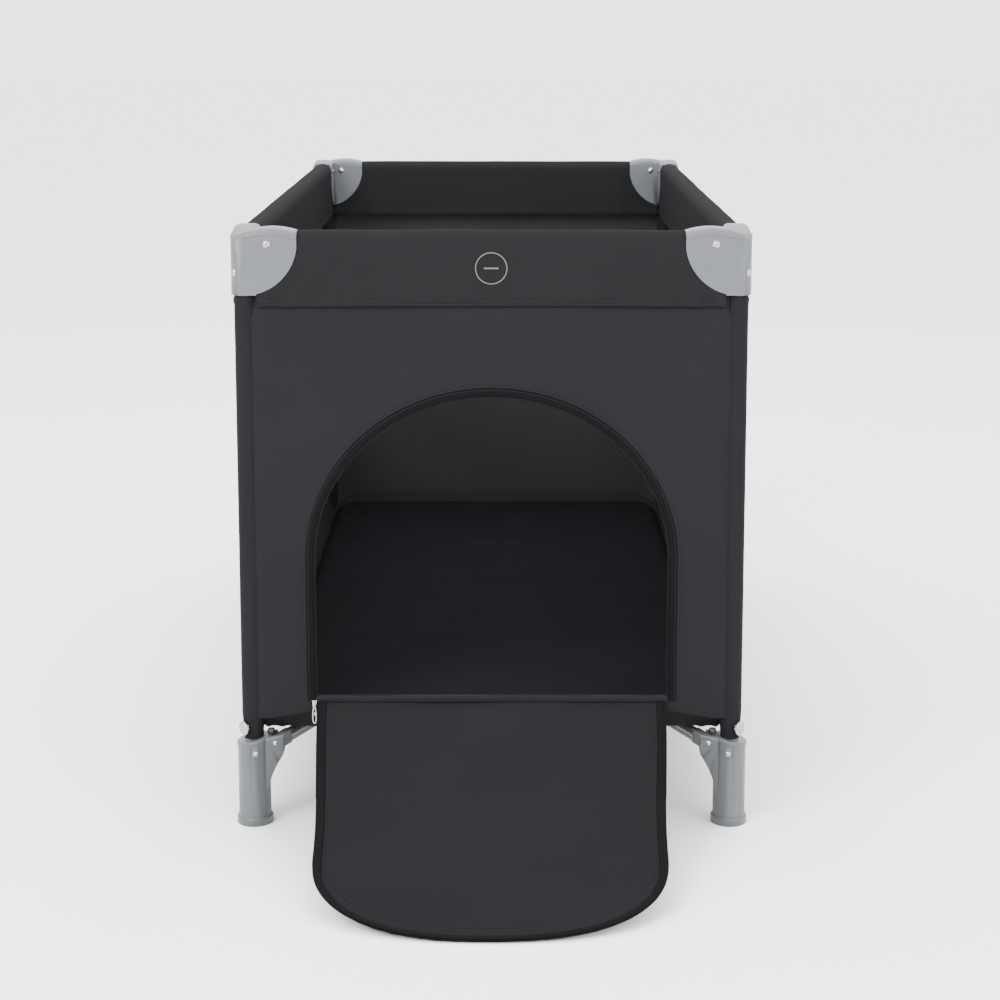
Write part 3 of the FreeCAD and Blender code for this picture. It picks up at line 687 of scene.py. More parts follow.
@dataclass
class Hardware:
    """The CAD parts that show: moulded shells get softened copies, the rest get a finish."""

    shell_round: float = 1.1 * MM
    rib_low: float = 745.5 * MM
    rib_high: float = 755.5 * MM
    rib_out: float = 16.9 * MM
    knob_in: float = 22 * MM
    knob_z: float = 119 * MM
    knob_top: float = 4.2 * MM
    knob_half: tuple[float, float, float] = (5.2 * MM, 4.2 * MM, 6.0 * MM)

    def softened(self, node: str) -> bmesh.types.BMesh:
        """A copy of a moulded CAD part, merged and with its sharp edges rounded.

        Args:
            node: the CAD node.

        Returns:
            The rounded copy.
        """
        bm = bmesh.new()
        bm.from_mesh(frame["nodes"][node].data)
        bmesh.ops.remove_doubles(bm, verts=bm.verts[:], dist=0.01 * MM)
        flat = math.radians(2.0)
        bmesh.ops.dissolve_limit(bm, angle_limit=flat, verts=bm.verts[:], edges=bm.edges[:])
        sharp = [
            e for e in bm.edges
            if e.is_manifold and math.radians(28) < e.calc_face_angle(0.0) < math.radians(140)
        ]
        softened_edges(bm, sharp, self.shell_round, 2)
        bmesh.ops.remove_doubles(bm, verts=bm.verts[:], dist=0.02 * MM)
        return bm

    def rib(self, tailor: Tailor, corner: Corner) -> None:
        """A low rib under the rolled top of each wing of a corner fitting."""
        sx, sy = corner.value[1:]
        wings = (
            (Vector((-sx, 0, 0)), Vector((0, sy, 0)), "short"),
            (Vector((0, -sy, 0)), Vector((sx, 0, 0)), "long"),
        )
        for inboard, outward, label in wings:
            points = []
            for i in range(25):
                u = (-2 + 66.4 * i / 24) * MM
                arch = 1 - ((u - 30 * MM) / (52 * MM)) ** 2
                height = self.rib_low + (self.rib_high - self.rib_low) * arch
                points.append(corner.axis + inboard * u + outward * self.rib_out + Vector((0, 0, height)))
            name = f"fitting_rib_{label}_{corner.label}"
            tailor.fit(strip(points, outward, 1.5 * MM, 0.8 * MM, 8), name, FITTING, "post_" + corner.label)

    def knob(self, tailor: Tailor, corner: Corner) -> None:
        """The small dark release knob on top of a boot, beside the sleeve."""
        sx, sy = corner.value[1:]
        centre = corner.axis + Vector((-sx * self.knob_in, -sy * 1.5 * MM, self.knob_z))
        bm = bmesh.new()
        scale = Matrix.Diagonal((*self.knob_half, 1))
        place = Matrix.Translation(centre) @ scale
        bmesh.ops.create_uvsphere(bm, u_segments=28, v_segments=16, radius=1, matrix=place)
        flat_top = centre.z + self.knob_top
        for vert in bm.verts:
            if vert.co.z > flat_top:
                vert.co.z = flat_top - (vert.co - centre).xy.length * 0.08
        tailor.fit(bm, "boot_knob_" + corner.label, DARK, "post_" + corner.label)

    def build(self, tailor: Tailor) -> None:
        """Dress every rigid part of the frame.

        Args:
            tailor: makes and counts the pieces.
        """
        for corner in Corner:
            body = "post_" + corner.label
            for stem, finish in (("corner_fitting", FITTING), ("foot_boot", BOOT)):
                node = f"{stem}_{corner.label}"
                tailor.fit(self.softened(node), "soft_" + node, finish, body, (node,), smooth_below=50)
            self.rib(tailor, corner)
            self.knob(tailor, corner)
        plain = {
            "post_tube": TUBE, "floor_bar": TUBE, "rail_front": TUBE, "rail_back": TUBE,
            "rail_left": TUBE, "rail_right": TUBE, "latch": DARK, "hub_body": DARK,
            "hub_foot": RUBBER, "fasteners": BRIGHT, "zip_end_stop": BRIGHT,
        }
        for node, piece in frame["nodes"].items():
            finish = next((f for stem, f in plain.items() if node.startswith(stem)), None)
            if finish:
                piece.data.materials.clear()
                piece.data.materials.append(finish.material())


# ---------------------------------------------------------------- padded rail covers

@dataclass
class RailCovers:
    """Cloth covers rolled over the top rails, in two halves that meet at each latch."""

    half: float = 15.5 * MM
    roll: float = 13.5 * MM
    top: float = 760.0 * MM
    bottom: float = 667.5 * MM
    start_top: float = 16.0 * MM
    start_bottom: float = 15.0 * MM
    thickness: float = 1.5 * MM
    keep: float = 0.3
    tuck: float = 2.4 * MM
    tuck_end: float = 80 * MM
    fold_depth: float = 1.3 * MM
    fold_pitch: float = 7 * MM
    slack: float = 1.4 * MM
    fine_slack: float = 0.7 * MM
    hem_rows: tuple[float, float] = (2 * MM, 7.5 * MM)
    groove: float = 0.5 * MM
    puff: float = 1.1 * MM
    puff_height: float = 4.7 * MM
    cloth_width: float = 0.204
    mark_z: float = 714.5 * MM
    mark_radius: float = 19.2 * MM
    mark_line: float = 0.75 * MM
    mark_bar: float = 1.1 * MM
    mark_height: float = 0.25 * MM

    def section(self, t: float) -> tuple[float, float]:
        """A point of the cover's section: t runs from its outer hem over the top to its inner hem.

        Args:
            t: from 0 to 1.

        Returns:
            Distance outward from the rail's axis, and height.
        """
        drop = self.top - self.roll - self.bottom
        bend = self.roll * math.pi / 2
        flat = 2 * (self.half - self.roll)
        run = t * (2 * drop + 2 * bend + flat)
        if run > drop + bend + flat / 2:
            out, height = self.section(1 - t)
            return -out, height
        if run < drop:
            return self.half, self.bottom + run
        if run < drop + bend:
            turn = (run - drop) / self.roll
            return (
                self.half - self.roll + self.roll * math.cos(turn),
                self.top - self.roll + self.roll * math.sin(turn),
            )
        return self.half - self.roll - (run - drop - bend), self.top

    def half_cover(self, origin: Vector, inboard: Vector, outward: Vector, reach: float) -> bmesh.types.BMesh:
        """One half cover from the corner fitting to the rail's middle.

        Args:
            origin: the post's axis on the floor.
            inboard: unit direction along the rail.
            outward: unit direction away from the cot.
            reach: distance from the post to the rail's middle.

        Returns:
            The cover's mesh.
        """
        drop = self.top - self.bottom

        def shape(a: float, b: float) -> Vector:
            """Along the rail by a and round the cover by b."""
            out, height = self.section(b)
            hang = (self.top - height) / drop
            start = self.start_top + (self.start_bottom - self.start_top) * hang
            u = start + (reach - start) * a
            place = origin + inboard * u + outward * out + Vector((0, 0, height))
            side = 1.0 if out > 0 else -1.0
            near = math.exp(-max(0.0, u - 60 * MM) / (45 * MM))
            middle_fade = smooth_step((reach - u) / (20 * MM))
            slant = u * 1.1 + (self.top - height) * 0.9
            fold = near * math.sin(slant / self.fold_pitch) * self.fold_depth * hang
            slack = rumple(place, 120 * MM, 3.0) * self.slack * hang
            slack += rumple(place, 34 * MM, 7.0) * self.fine_slack * hang
            seam_depth = 0.0
            for row in self.hem_rows:
                seam_depth += self.groove * math.exp(-((height - self.bottom - row) / (1.3 * MM)) ** 2)
            puff = self.puff * math.exp(-((height - self.bottom - self.puff_height) / (2.4 * MM)) ** 2)
            place += outward * side * ((fold + slack) * middle_fade + puff - seam_depth)
            if out < 0:
                place += outward * self.tuck * smooth_step((self.tuck_end - u) / (14 * MM))
            crest = rumple(place, 90 * MM, 5.0) * 0.8 * MM * (1 - hang) * middle_fade
            place.z += crest - 0.4 * MM * near
            return place

        columns = max(40, int(reach / (5.5 * MM)))
        bm = mapped_grid(columns, 72, shape, (reach, 0.2))
        top_row = [f for f in bm.faces if f.calc_center_median().z > self.top - 2 * MM]
        bm.normal_update()
        if top_row[0].normal.z < 0:
            bmesh.ops.reverse_faces(bm, faces=bm.faces[:])
        return thicken(bm, self.thickness)

    def stitches(self, origin: Vector, inboard: Vector, outward: Vector, reach: float) -> bmesh.types.BMesh:
        """Two rows of stitches along the cover's outer hem."""
        start = self.start_bottom + 3 * MM
        out = outward * (self.half + 0.9 * MM)
        stations = []
        for row in self.hem_rows:
            ends = [origin + inboard * u + out + Vector((0, 0, self.bottom + row)) for u in (start, reach)]
            stations += walk(ends, 3.6 * MM)
        return bricks(stations, Vector((2.4 * MM, 0.7 * MM, 0.7 * MM)), outward)

    def build(self, tailor: Tailor) -> None:
        """Make the eight half covers with their stitching."""
        gather = Gather((0, 0, 1), (0, 0, self.top), self.keep)
        sides = (
            ("front", (Corner.FRONT_LEFT, Corner.FRONT_RIGHT), ("left", "right"), Vector((0, -1, 0))),
            ("back", (Corner.BACK_LEFT, Corner.BACK_RIGHT), ("left", "right"), Vector((0, 1, 0))),
            ("left", (Corner.FRONT_LEFT, Corner.BACK_LEFT), ("front", "back"), Vector((-1, 0, 0))),
            ("right", (Corner.FRONT_RIGHT, Corner.BACK_RIGHT), ("front", "back"), Vector((1, 0, 0))),
        )
        for side, corners, ends, outward in sides:
            axis = Vector((1, 0, 0)) if outward.x == 0 else Vector((0, 1, 0))
            for corner, end in zip(corners, ends):
                reach = abs(corner.axis.dot(axis))
                inboard = axis * -math.copysign(1, corner.axis.dot(axis))
                label = f"{side}_{end}"
                bm = self.half_cover(corner.axis, inboard, outward, reach)
                cover = tailor.fit(
                    bm, "cover_" + label, COVER, "rail_" + label, ("rail_cover_" + label,), gather
                )
                bm = self.stitches(corner.axis, inboard, outward, reach)
                thread = tailor.fit(bm, "cover_stitches_" + label, THREAD, "rail_" + label, (), gather)
        self.print_mark(tailor, gather)

    def print_mark(self, tailor: Tailor, gather: Gather) -> None:
        """A plain round print in the middle of the front cover: a thin ring about a short bar."""
        centre = Vector((0, -POST.y - self.half - 1.0 * MM, self.mark_z))
        for side, body in ((-1, "rail_front_left"), (1, "rail_front_right")):
            turns = [side * math.pi * i / 40 for i in range(41)]
            ring = [centre + Vector((math.sin(t), 0, math.cos(t))) * self.mark_radius for t in turns]
            tape = strip(ring, Vector((0, -1, 0)), self.mark_line, self.mark_height, 6)
            bar = [centre + Vector((side * x * MM, 0, 0)) for x in (0.0, 3.0, 6.0, 9.0)]
            mark = join(tape, strip(bar, Vector((0, -1, 0)), self.mark_bar, self.mark_height, 6))
            tailor.fit(mark, f"round_print_{body[5:]}", PRINT, body, (), gather)


# ---------------------------------------------------------------- post sleeves

@dataclass
class Sleeves:
    """Cloth sleeves drawn over the posts, with a seam beside the wall and a tuck into the boot."""

    radius: float = 14.3 * MM
    low: float = 112.0 * MM
    high: float = 684.0 * MM
    thickness: float = 1.2 * MM
    girth: float = 90 * MM
    crease: float = 0.45 * MM
    seam: float = 12 * MM

    def build(self, tailor: Tailor) -> None:
        """Make the four sleeves."""
        for corner in Corner:
            centre = corner.axis
            sx, sy = corner.value[1:]

            def shape(a: float, b: float) -> Vector:
                """Round the post by a and up it by b."""
                turn = 2 * math.pi * a
                out = Vector((math.cos(turn), math.sin(turn), 0))
                height = self.low + (self.high - self.low) * b
                tuck = smooth_step((150 * MM - height) / (38 * MM))
                radius = self.radius * (1 - 0.16 * tuck)
                place = centre + out * radius + Vector((0, 0, height))
                crumple = 0.35 + 1.2 * tuck + 0.2 * smooth_step((height - 600 * MM) / (80 * MM))
                fold = rumple(Vector((out.x * 0.02, out.y * 0.02, height * 0.45)), 14 * MM, sx + 2 * sy)
                fold += 0.5 * rumple(place, 9 * MM, 4.0)
                seam = max(0.0, out.dot(Vector((-sx, -sy, 0)).normalized()) - 0.97) * self.seam
                return place + out * (fold * self.crease * crumple + seam)

            bm = mapped_grid(40, 150, shape, (self.girth, self.high - self.low))
            bmesh.ops.remove_doubles(bm, verts=bm.verts[:], dist=0.01 * MM)
            bm.normal_update()
            face = bm.faces[:][0]
            spoke = face.calc_center_median() - centre
            spoke.z = 0
            if face.normal.dot(spoke) < 0:
                bmesh.ops.reverse_faces(bm, faces=bm.faces[:])
            node = "post_sleeve_" + corner.label
            bm = thicken(bm, self.thickness)
            sleeve = tailor.fit(bm, "sleeve_" + corner.label, SLEEVE, "post_" + corner.label, (node,))


# ---------------------------------------------------------------- walls

@dataclass
class Doorway:
    """The arched opening in the front wall, in wall coordinates: x across and z up."""

    half: float = 222 * MM
    sill: float = 165 * MM
    spring: float = 350 * MM
    apex: float = 555 * MM

    def edge(self, angle: float, centre_z: float) -> Vector:
        """The opening's edge seen from (0, centre_z) at an angle."""
        ray = Vector((math.cos(angle), 0, math.sin(angle)))
        half, rise = self.half, self.apex - self.spring
        reach = half / abs(ray.x) if abs(ray.x) > 1e-9 else 10.0
        if ray.z < 0:
            reach = min(reach, (centre_z - self.sill) / -ray.z)
        low = centre_z - self.spring
        if low + reach * ray.z > 0:
            a = (ray.x / half) ** 2 + (ray.z / rise) ** 2
            b = 2 * low * ray.z / rise**2
            c = (low / rise) ** 2 - 1
            reach = (-b + math.sqrt(b * b - 4 * a * c)) / (2 * a)
        return Vector((0, 0, centre_z)) + ray * reach

    def path(self, offset: float, steps: int = 120) -> list[Vector]:
        """The edge from the sill's left end, up, over and down, offset outward, at y = 0."""
        half, rise = self.half + offset, self.apex - self.spring + offset
        side = [self.sill + (self.spring - self.sill) * i / 30 for i in range(30)]
        points = [Vector((-half, 0, z)) for z in side]
        points += [
            Vector((-half * math.cos(t), 0, self.spring + rise * math.sin(t)))
            for t in (math.pi * i / steps for i in range(steps + 1))
        ]
        return points + [Vector((half, 0, z)) for z in reversed(side)]


def ring_sheet(angles: list[float], inner: Edge, outer: Edge, rings: int) -> bmesh.types.BMesh:
    """A sheet with a hole, from the hole's edge out to the sheet's edge.

    Args:
        angles: directions of its spokes.
        inner: the hole's edge at an angle.
        outer: the sheet's edge at an angle.
        rings: rows of quads between the two.

    Returns:
        The sheet.
    """
    bm = bmesh.new()
    count = len(angles)
    layer = bm.verts.layers.float.new("angle")
    hole = bmesh.ops.create_circle(bm, cap_ends=False, radius=1.0, segments=count)["verts"]
    hole.sort(key=lambda v: math.atan2(v.co.y, v.co.x) % (2 * math.pi))
    for vert, angle in zip(hole, sorted(a % (2 * math.pi) for a in angles)):
        vert[layer] = angle
        vert.co = inner(angle)
    grown = bmesh.ops.extrude_edge_only(bm, edges=bm.edges[:])["geom"]
    rim = {v for v in grown if isinstance(v, bmesh.types.BMVert)}
    for vert in rim:
        vert.co = outer(vert[layer])
    spokes = [e for e in bm.edges if (e.verts[0] in rim) != (e.verts[1] in rim)]
    bmesh.ops.subdivide_edges(bm, edges=spokes, cuts=rings - 1, use_grid_fill=True)
    return bm


def box_edge(half: float, low: float, high: float, centre_z: float) -> Edge:
    """Edge of an upright rectangle seen from (0, centre_z), as a function of the angle."""

    def at(angle: float) -> Vector:
        """Where a ray at this angle leaves the rectangle."""
        ray = Vector((math.cos(angle), 0, math.sin(angle)))
        reach = half / max(abs(ray.x), 1e-9)
        room = (high - centre_z) if ray.z > 0 else (centre_z - low)
        return Vector((0, 0, centre_z)) + ray * min(reach, room / max(abs(ray.z), 1e-9))

    return at


def spoke_angles(count: int, corners: list[tuple[float, float]], centre_z: float) -> list[float]:
    """Even directions about (0, centre_z), with the nearest ones moved onto given corners."""
    angles = [2 * math.pi * i / count for i in range(count)]
    for x, z in corners:
        exact = math.atan2(z - centre_z, x) % (2 * math.pi)
        nearest = min(range(count), key=lambda i: abs(angles[i] - exact))
        angles[nearest] = exact
    return angles


@dataclass
class Walls:
    """Front, rear and side walls, the side nets, and the door's welt and zip track."""

    door: Doorway = field(default_factory=Doorway)
    low: float = 140 * MM
    rear_low: float = 128 * MM
    high: float = 694 * MM
    edge_x: float = 300 * MM
    edge_y: float = 599 * MM
    thickness: float = 1.6 * MM
    window_half: float = 545 * MM
    window_low: float = 330 * MM
    window_high: float = 680 * MM
    window_corner: float = 45 * MM
    front_middle: float = 330 * MM
    front_lift: float = 11 * MM
    side_lift: float = 3 * MM
    wave: float = 1.6 * MM
    fine_wave: float = 0.5 * MM
    post_tuck: float = 4.0 * MM
    top_tuck: float = 4.5 * MM
    top_tuck_from: float = 656 * MM
    corner_pucker: float = 0.7 * MM
    front_cloth: float = 0.22
    welt_half: float = 5.2 * MM
    net_lap: float = 8 * MM
    net_belly: float = 4 * MM

    def stretch(self, place: Vector, half: float, seed: float, lift: float) -> Vector:
        """Move a flat wall point to where the stretched cloth lies: y is how far in it sits.

        Args:
            place: the point, x across and z up, at y = 0.
            half: the wall's half width.
            seed: picks the wall's own wrinkles.
            lift: how far the hem rises away from the posts.

        Returns:
            The moved point.
        """
        moved = place.copy()
        near_hem = smooth_step((self.low + 60 * MM - place.z) / (60 * MM))
        inside = smooth_step((half - abs(place.x)) / (85 * MM))
        moved.z += lift * near_hem * inside
        edge = smooth_step((abs(place.x) - half + 14 * MM) / (14 * MM))
        moved.y += self.post_tuck * edge
        pull = smooth_step((half - abs(place.x)) / (40 * MM))
        moved.y += rumple(place, 160 * MM, seed) * self.wave * pull
        moved.y += rumple(Vector((place.x * 0.6, 0, place.z)), 60 * MM, seed + 3) * self.fine_wave * pull
        corner = math.exp(-((half - abs(place.x)) ** 2 + (place.z - self.low) ** 2) / (70 * MM) ** 2)
        moved.y += corner * math.sin((abs(place.x) + place.z) / (6 * MM)) * self.corner_pucker
        moved.y += smooth_step((place.z - self.top_tuck_from) / (14 * MM)) * self.top_tuck
        return moved

    def build(self, tailor: Tailor) -> None:
        """Make all the walls and what is sewn to them."""
        self.front(tailor)
        self.rear(tailor)
        for side, body, corner in (("left", "post_front_left", -1), ("right", "post_front_right", 1)):
            self.side(tailor, side, body, corner)

    def front(self, tailor: Tailor) -> None:
        """The front wall with its arched doorway, welt, sill and zip track."""
        centre_z = self.front_middle
        door = self.door
        corners = [(x, z) for x in (-self.edge_x, self.edge_x) for z in (self.low, self.high)]
        corners += [(x, door.sill) for x in (-door.half, door.half)]
        angles = spoke_angles(220, corners, centre_z)
        edge = box_edge(self.edge_x, self.low, self.high, centre_z)
        bm = ring_sheet(angles, lambda a: door.edge(a, centre_z), edge, 26)
        for vert in bm.verts:
            moved = self.stretch(vert.co, self.edge_x, 11.0, self.front_lift)
            vert.co = Vector((moved.x, -WALL_FACE + moved.y, moved.z))
        chart(bm, Vector((1, 0, 0)), Vector((0, 0, 1)))
        bm = thicken(faced(bm, Vector((0, -1, 0))), self.thickness)
        body = "post_front_left"
        panel = tailor.fit(bm, "front_wall", PANEL, body, ("front_panel",), ACROSS)
        out = Vector((0, -1, 0))
        front = Vector((0, -WALL_FACE - 0.6 * MM, 0))
        welt = [p + front for p in door.path(self.welt_half)]
        tailor.fit(strip(welt, out, self.welt_half, 1.5 * MM), "door_welt", BINDING, body, (), ACROSS)
        rows = []
        for offset in (8.4 * MM, 12.2 * MM):
            rows += walk([p + front - Vector((0, 1.2 * MM, 0)) for p in door.path(offset)], STITCH_PITCH)
        tailor.fit(bricks(rows, STITCH, out), "door_welt_stitches", THREAD, body, (), ACROSS)
        track = walk([p + front - Vector((0, 0.4 * MM, 0)) for p in door.path(-0.8 * MM)], TOOTH_PITCH)
        size = Vector((1.3 * MM, 3.0 * MM, 1.8 * MM))
        tailor.fit(bricks(track, size, out), "door_zip_teeth", TEETH, body, (), ACROSS)
        sill = [Vector((x * MM, -WALL_FACE + 0.4 * MM, door.sill + 1.5 * MM)) for x in range(-222, 223, 6)]
        for point in sill:
            point.z += rumple(point, 50 * MM, 2.0) * 1.0 * MM
        tailor.fit(strip(sill, out, 5 * MM, 3.2 * MM, 14), "door_sill", PANEL, body, (), ACROSS)

    def rear(self, tailor: Tailor) -> None:
        """The rear wall."""
        width, height = 2 * self.edge_x, self.high - self.rear_low

        def shape(a: float, b: float) -> Vector:
            """Across the wall by a and up it by b."""
            flat = Vector(((a - 0.5) * width, 0, self.rear_low + b * height))
            moved = self.stretch(flat, self.edge_x, 23.0, 0.0)
            return Vector((moved.x, WALL_FACE - moved.y, moved.z))

        bm = thicken(faced(mapped_grid(90, 80, shape, (width, height)), Vector((0, 1, 0))), self.thickness)
        # The rear wall wears the lighter copy of the wall cloth: painted light on the inside of the cot.
        wall = tailor.fit(bm, "rear_wall", PAINTED_LIGHT_REAR, "post_back_left", ("rear_panel",), ACROSS)

    def window_edge(self, angle: float, centre_z: float) -> Vector:
        """The side window's rounded edge seen from its centre."""
        square = box_edge(self.window_half, self.window_low, self.window_high, centre_z)(angle)
        half_height = (self.window_high - self.window_low) / 2
        flat_x, flat_z = self.window_half - self.window_corner, half_height - self.window_corner
        x, z = square.x, square.z - centre_z
        if abs(x) > flat_x and abs(z) > flat_z:
            middle_x, middle_z = math.copysign(flat_x, x), math.copysign(flat_z, z)
            ray = Vector((math.cos(angle), math.sin(angle)))
            lean = ray.x * middle_x + ray.y * middle_z
            gap = middle_x**2 + middle_z**2 - self.window_corner**2
            reach = lean + math.sqrt(max(0.0, lean * lean - gap))
            x, z = ray.x * reach, ray.y * reach
        return Vector((x, 0, centre_z + z))

    def side(self, tailor: Tailor, label: str, body: str, sign: int) -> None:
        """One side wall with its net window and the binding round it.

        Args:
            tailor: makes and counts the pieces.
            label: left or right.
            body: the post that it hangs from.
            sign: -1 on the left, 1 on the right.
        """
        centre_z = (self.window_low + self.window_high) / 2
        face = POST.x + (WALL_FACE - POST.y)
        out = Vector((sign, 0, 0))

        def stand(point: Vector, depth: float = 0.0) -> Vector:
            """A flat wall point stood up on this side of the cot, depth inward."""
            return Vector((sign * (face - depth), point.x, point.z))

        corners = [(x, z) for x in (-self.edge_y, self.edge_y) for z in (self.low, self.high)]
        angles = []
        for quarter in range(260):
            t = 2 * math.pi * quarter / 260
            angles.append(math.atan2(math.sin(t) * 0.45, math.cos(t)) % (2 * math.pi))
        for x, z in corners:
            exact = math.atan2(z - centre_z, x) % (2 * math.pi)
            nearest = min(range(len(angles)), key=lambda i: abs(angles[i] - exact))
            angles[nearest] = exact
        edge = box_edge(self.edge_y, self.low, self.high, centre_z)
        bm = ring_sheet(angles, lambda a: self.window_edge(a, centre_z), edge, 14)
        for vert in bm.verts:
            moved = self.stretch(vert.co, self.edge_y, 31.0 + sign, self.side_lift)
            vert.co = stand(moved, moved.y)
        chart(bm, Vector((0, 1, 0)), Vector((0, 0, 1)))
        bm = thicken(faced(bm, out), self.thickness)
        wall = tailor.fit(bm, f"side_wall_{label}", PANEL, body, ("side_panel_" + label,), ALONG)
        width, height = 2 * self.window_half + self.net_lap, self.window_high - self.window_low + self.net_lap

        def net_shape(a: float, b: float) -> Vector:
            """Along the net by a and up it by b, with a slight belly."""
            flat_point = Vector(((a - 0.5) * width, 0, centre_z + (b - 0.5) * height))
            x, z = rounded(flat_point.x, flat_point.z - centre_z, width / 2, height / 2, self.window_corner)
            flat_point = Vector((x, 0, centre_z + z))
            belly = math.cos(math.pi * (a - 0.5)) * math.cos(math.pi * (b - 0.5)) * self.net_belly
            return stand(flat_point, 1.0 * MM + belly + rumple(flat_point, 140 * MM, 41.0) * 1.2 * MM)

        bm = faced(mapped_grid(110, 34, net_shape, (width, height)), out)
        net = tailor.fit(bm, f"net_{label}", NET, body, ("mesh_window_" + label,), ALONG)
        around = sorted(angles)
        loop = [stand(self.window_edge(a, centre_z), -0.6 * MM) for a in around]
        loop.append(loop[0])
        tailor.fit(strip(loop, out, 6 * MM, 1.2 * MM, 8), f"window_binding_{label}", BINDING, body, (), ALONG)


# ---------------------------------------------------------------- door flap

@dataclass
class DoorFlap:
    """The door's flap, hanging from the sill to the floor, in two panels that meet at a crease."""

    top_half: float = 217 * MM
    side_half: float = 206 * MM
    corner_start: float = 252 * MM
    length: float = 384.5 * MM
    squareness: float = 2.4
    thickness: float = 3.0 * MM
    hem: float = 19 * MM
    ease: float = 110 * MM
    stitch_inset: float = 11 * MM
    wave: float = 1.8 * MM
    fine_wave: float = 0.5 * MM
    lower_cloth: float = 0.092

    def __post_init__(self) -> None:
        """Work out the flap's two planes from its hinges."""
        self.crease_run = (FLAP_CREASE - FLAP_HINGE).length
        self.upper_along = (FLAP_CREASE - FLAP_HINGE).normalized()
        run = self.length - self.crease_run
        drop = (FLAP_CREASE.z - 2.6 * MM) / run
        self.lower_along = Vector((0, -math.sqrt(1 - drop * drop), -drop))

    def width_at(self, run: float) -> float:
        """Half width of the straight-sided part at a distance from the hinge."""
        share = smooth_step(run / self.corner_start)
        return self.top_half + (self.side_half - self.top_half) * share

    def outline(self, turn: float) -> tuple[float, float]:
        """A point of the rounded end: turn runs from -1 on the left to 1 on the right.

        Returns:
            Distance across, as a share of the half width, and distance from the hinge.
        """
        angle = turn * math.pi / 2
        across = math.copysign(abs(math.sin(angle)) ** (2 / self.squareness), turn)
        depth = max(0.0, math.cos(angle)) ** (2 / self.squareness)
        return across, self.corner_start + (self.length - self.corner_start) * depth

    def place(self, x: float, run: float) -> Vector:
        """Where the cloth lies at a distance across and a distance from the hinge."""
        if run <= self.crease_run:
            point = FLAP_HINGE + self.upper_along * run
            normal = Vector((0, self.upper_along.z, -self.upper_along.y))
        else:
            point = FLAP_CREASE + self.lower_along * (run - self.crease_run)
            normal = Vector((0, self.lower_along.z, -self.lower_along.y))
        away = abs(run - self.crease_run)
        half_turn = self.upper_along.angle(self.lower_along) / 2
        sag = -math.tan(half_turn) * away * max(0.0, 1 - away / self.ease) ** 2
        soft = smooth_step(away / (30 * MM))
        ground = smooth_step((self.length - run) / (120 * MM))
        flat = Vector((x, run, 0))
        rise = rumple(flat, 120 * MM, 13.0) * self.wave * soft * (0.35 + 0.65 * ground)
        rise += rumple(flat, 45 * MM, 17.0) * self.fine_wave * soft
        return point + Vector((x, 0, 0)) + normal * (rise + sag)

    def hem_height(self, inset: float, along: float) -> float:
        """How far the hem stands up at a distance in from the edge: a padded, puckered band."""
        band = smooth_step(inset / (3 * MM)) * smooth_step((self.hem - inset) / (3 * MM))
        pucker = math.sin(along / (3.4 * MM)) * 0.5 + rumple(Vector((along, inset, 0)), 9 * MM, 19.0)
        return band * (1.1 + 0.55 * pucker) * MM

    def build(self, tailor: Tailor) -> None:
        """Make both panels, the hem, the edge binding, the stitches and the zip teeth."""
        seam = self.crease_run

        def upper(a: float, b: float) -> Vector:
            """Across the upper panel by a and down it by b."""
            run = seam * b
            return self.place((2 * a - 1) * self.width_at(run), run)

        def lower(a: float, b: float) -> Vector:
            """Across the lower panel by a and down it by b, ending on the rounded edge."""
            across, end = self.outline(2 * a - 1)
            run = seam + (end - seam) * b
            x = across * self.width_at(min(run, self.corner_start))
            point = self.place(x, run)
            bulge = (end - self.corner_start) / (self.length - self.corner_start)
            inset = (end - run) * (0.35 + 0.65 * bulge)
            point.z += self.hem_height(inset, x * 1.2) * smooth_step((end - self.corner_start) / (40 * MM))
            return point

        up = Vector((0, 0, 1))
        bm = mapped_grid(96, 36, upper, (2 * self.top_half, seam))
        bm = thicken(faced(bm, up), self.thickness)
        top = tailor.fit(bm, "flap_upper", FLAP, "door_upper", ("door_flap_upper",), ACROSS)
        bm = mapped_grid(150, 84, lower, (2 * self.side_half, self.length - seam))
        bm = thicken(faced(bm, up), self.thickness)
        end = tailor.fit(bm, "flap_lower", FLAP, "door_lower", ("door_flap_lower",), ACROSS)
        for sign, label in ((-1, "left"), (1, "right")):
            self.side_edge(tailor, sign, label, up)
        self.round_edge(tailor, up)

    def side_edge(self, tailor: Tailor, sign: int, label: str, up: Vector) -> None:
        """Binding, stitches and zip teeth down one side of the upper panel."""
        runs = [self.crease_run * i / 24 for i in range(25)]
        sets = self.edge_lines([(sign * self.width_at(r), r) for r in runs], sign)
        self.dress_edge(tailor, sets, "upper_" + label, "door_upper", up)

    def edge_lines(self, outline: list[tuple[float, float]], sign: int) -> dict[str, list[Vector]]:
        """Lines beside an outline: the binding's middle, the stitch line and the zip teeth."""
        offsets = {"binding": 4.6 * MM, "stitches": self.stitch_inset, "teeth": -1.0 * MM}
        proud = Vector((0, 0, 0.9 * MM))
        return {
            key: [self.place(x - sign * inset, run) + proud for x, run in outline]
            for key, inset in offsets.items()
        }

    @staticmethod
    def dress_edge(
        tailor: Tailor, lines: dict[str, list[Vector]], label: str, body: str, up: Vector
    ) -> None:
        """Make the binding, stitches and teeth along one stretch of the flap's edge."""
        tape = strip(lines["binding"], up, 4.8 * MM, 1.5 * MM)
        tailor.fit(tape, "flap_binding_" + label, BINDING, body, (), ACROSS)
        stitches = bricks(walk(lines["stitches"], STITCH_PITCH), STITCH, up)
        tailor.fit(stitches, "flap_stitches_" + label, THREAD, body, (), ACROSS)
        size = Vector((1.3 * MM, 2.4 * MM, 1.8 * MM))
        teeth = bricks(walk(lines["teeth"], TOOTH_PITCH), size, up)
        tailor.fit(teeth, "flap_teeth_" + label, TEETH, body, (), ACROSS)

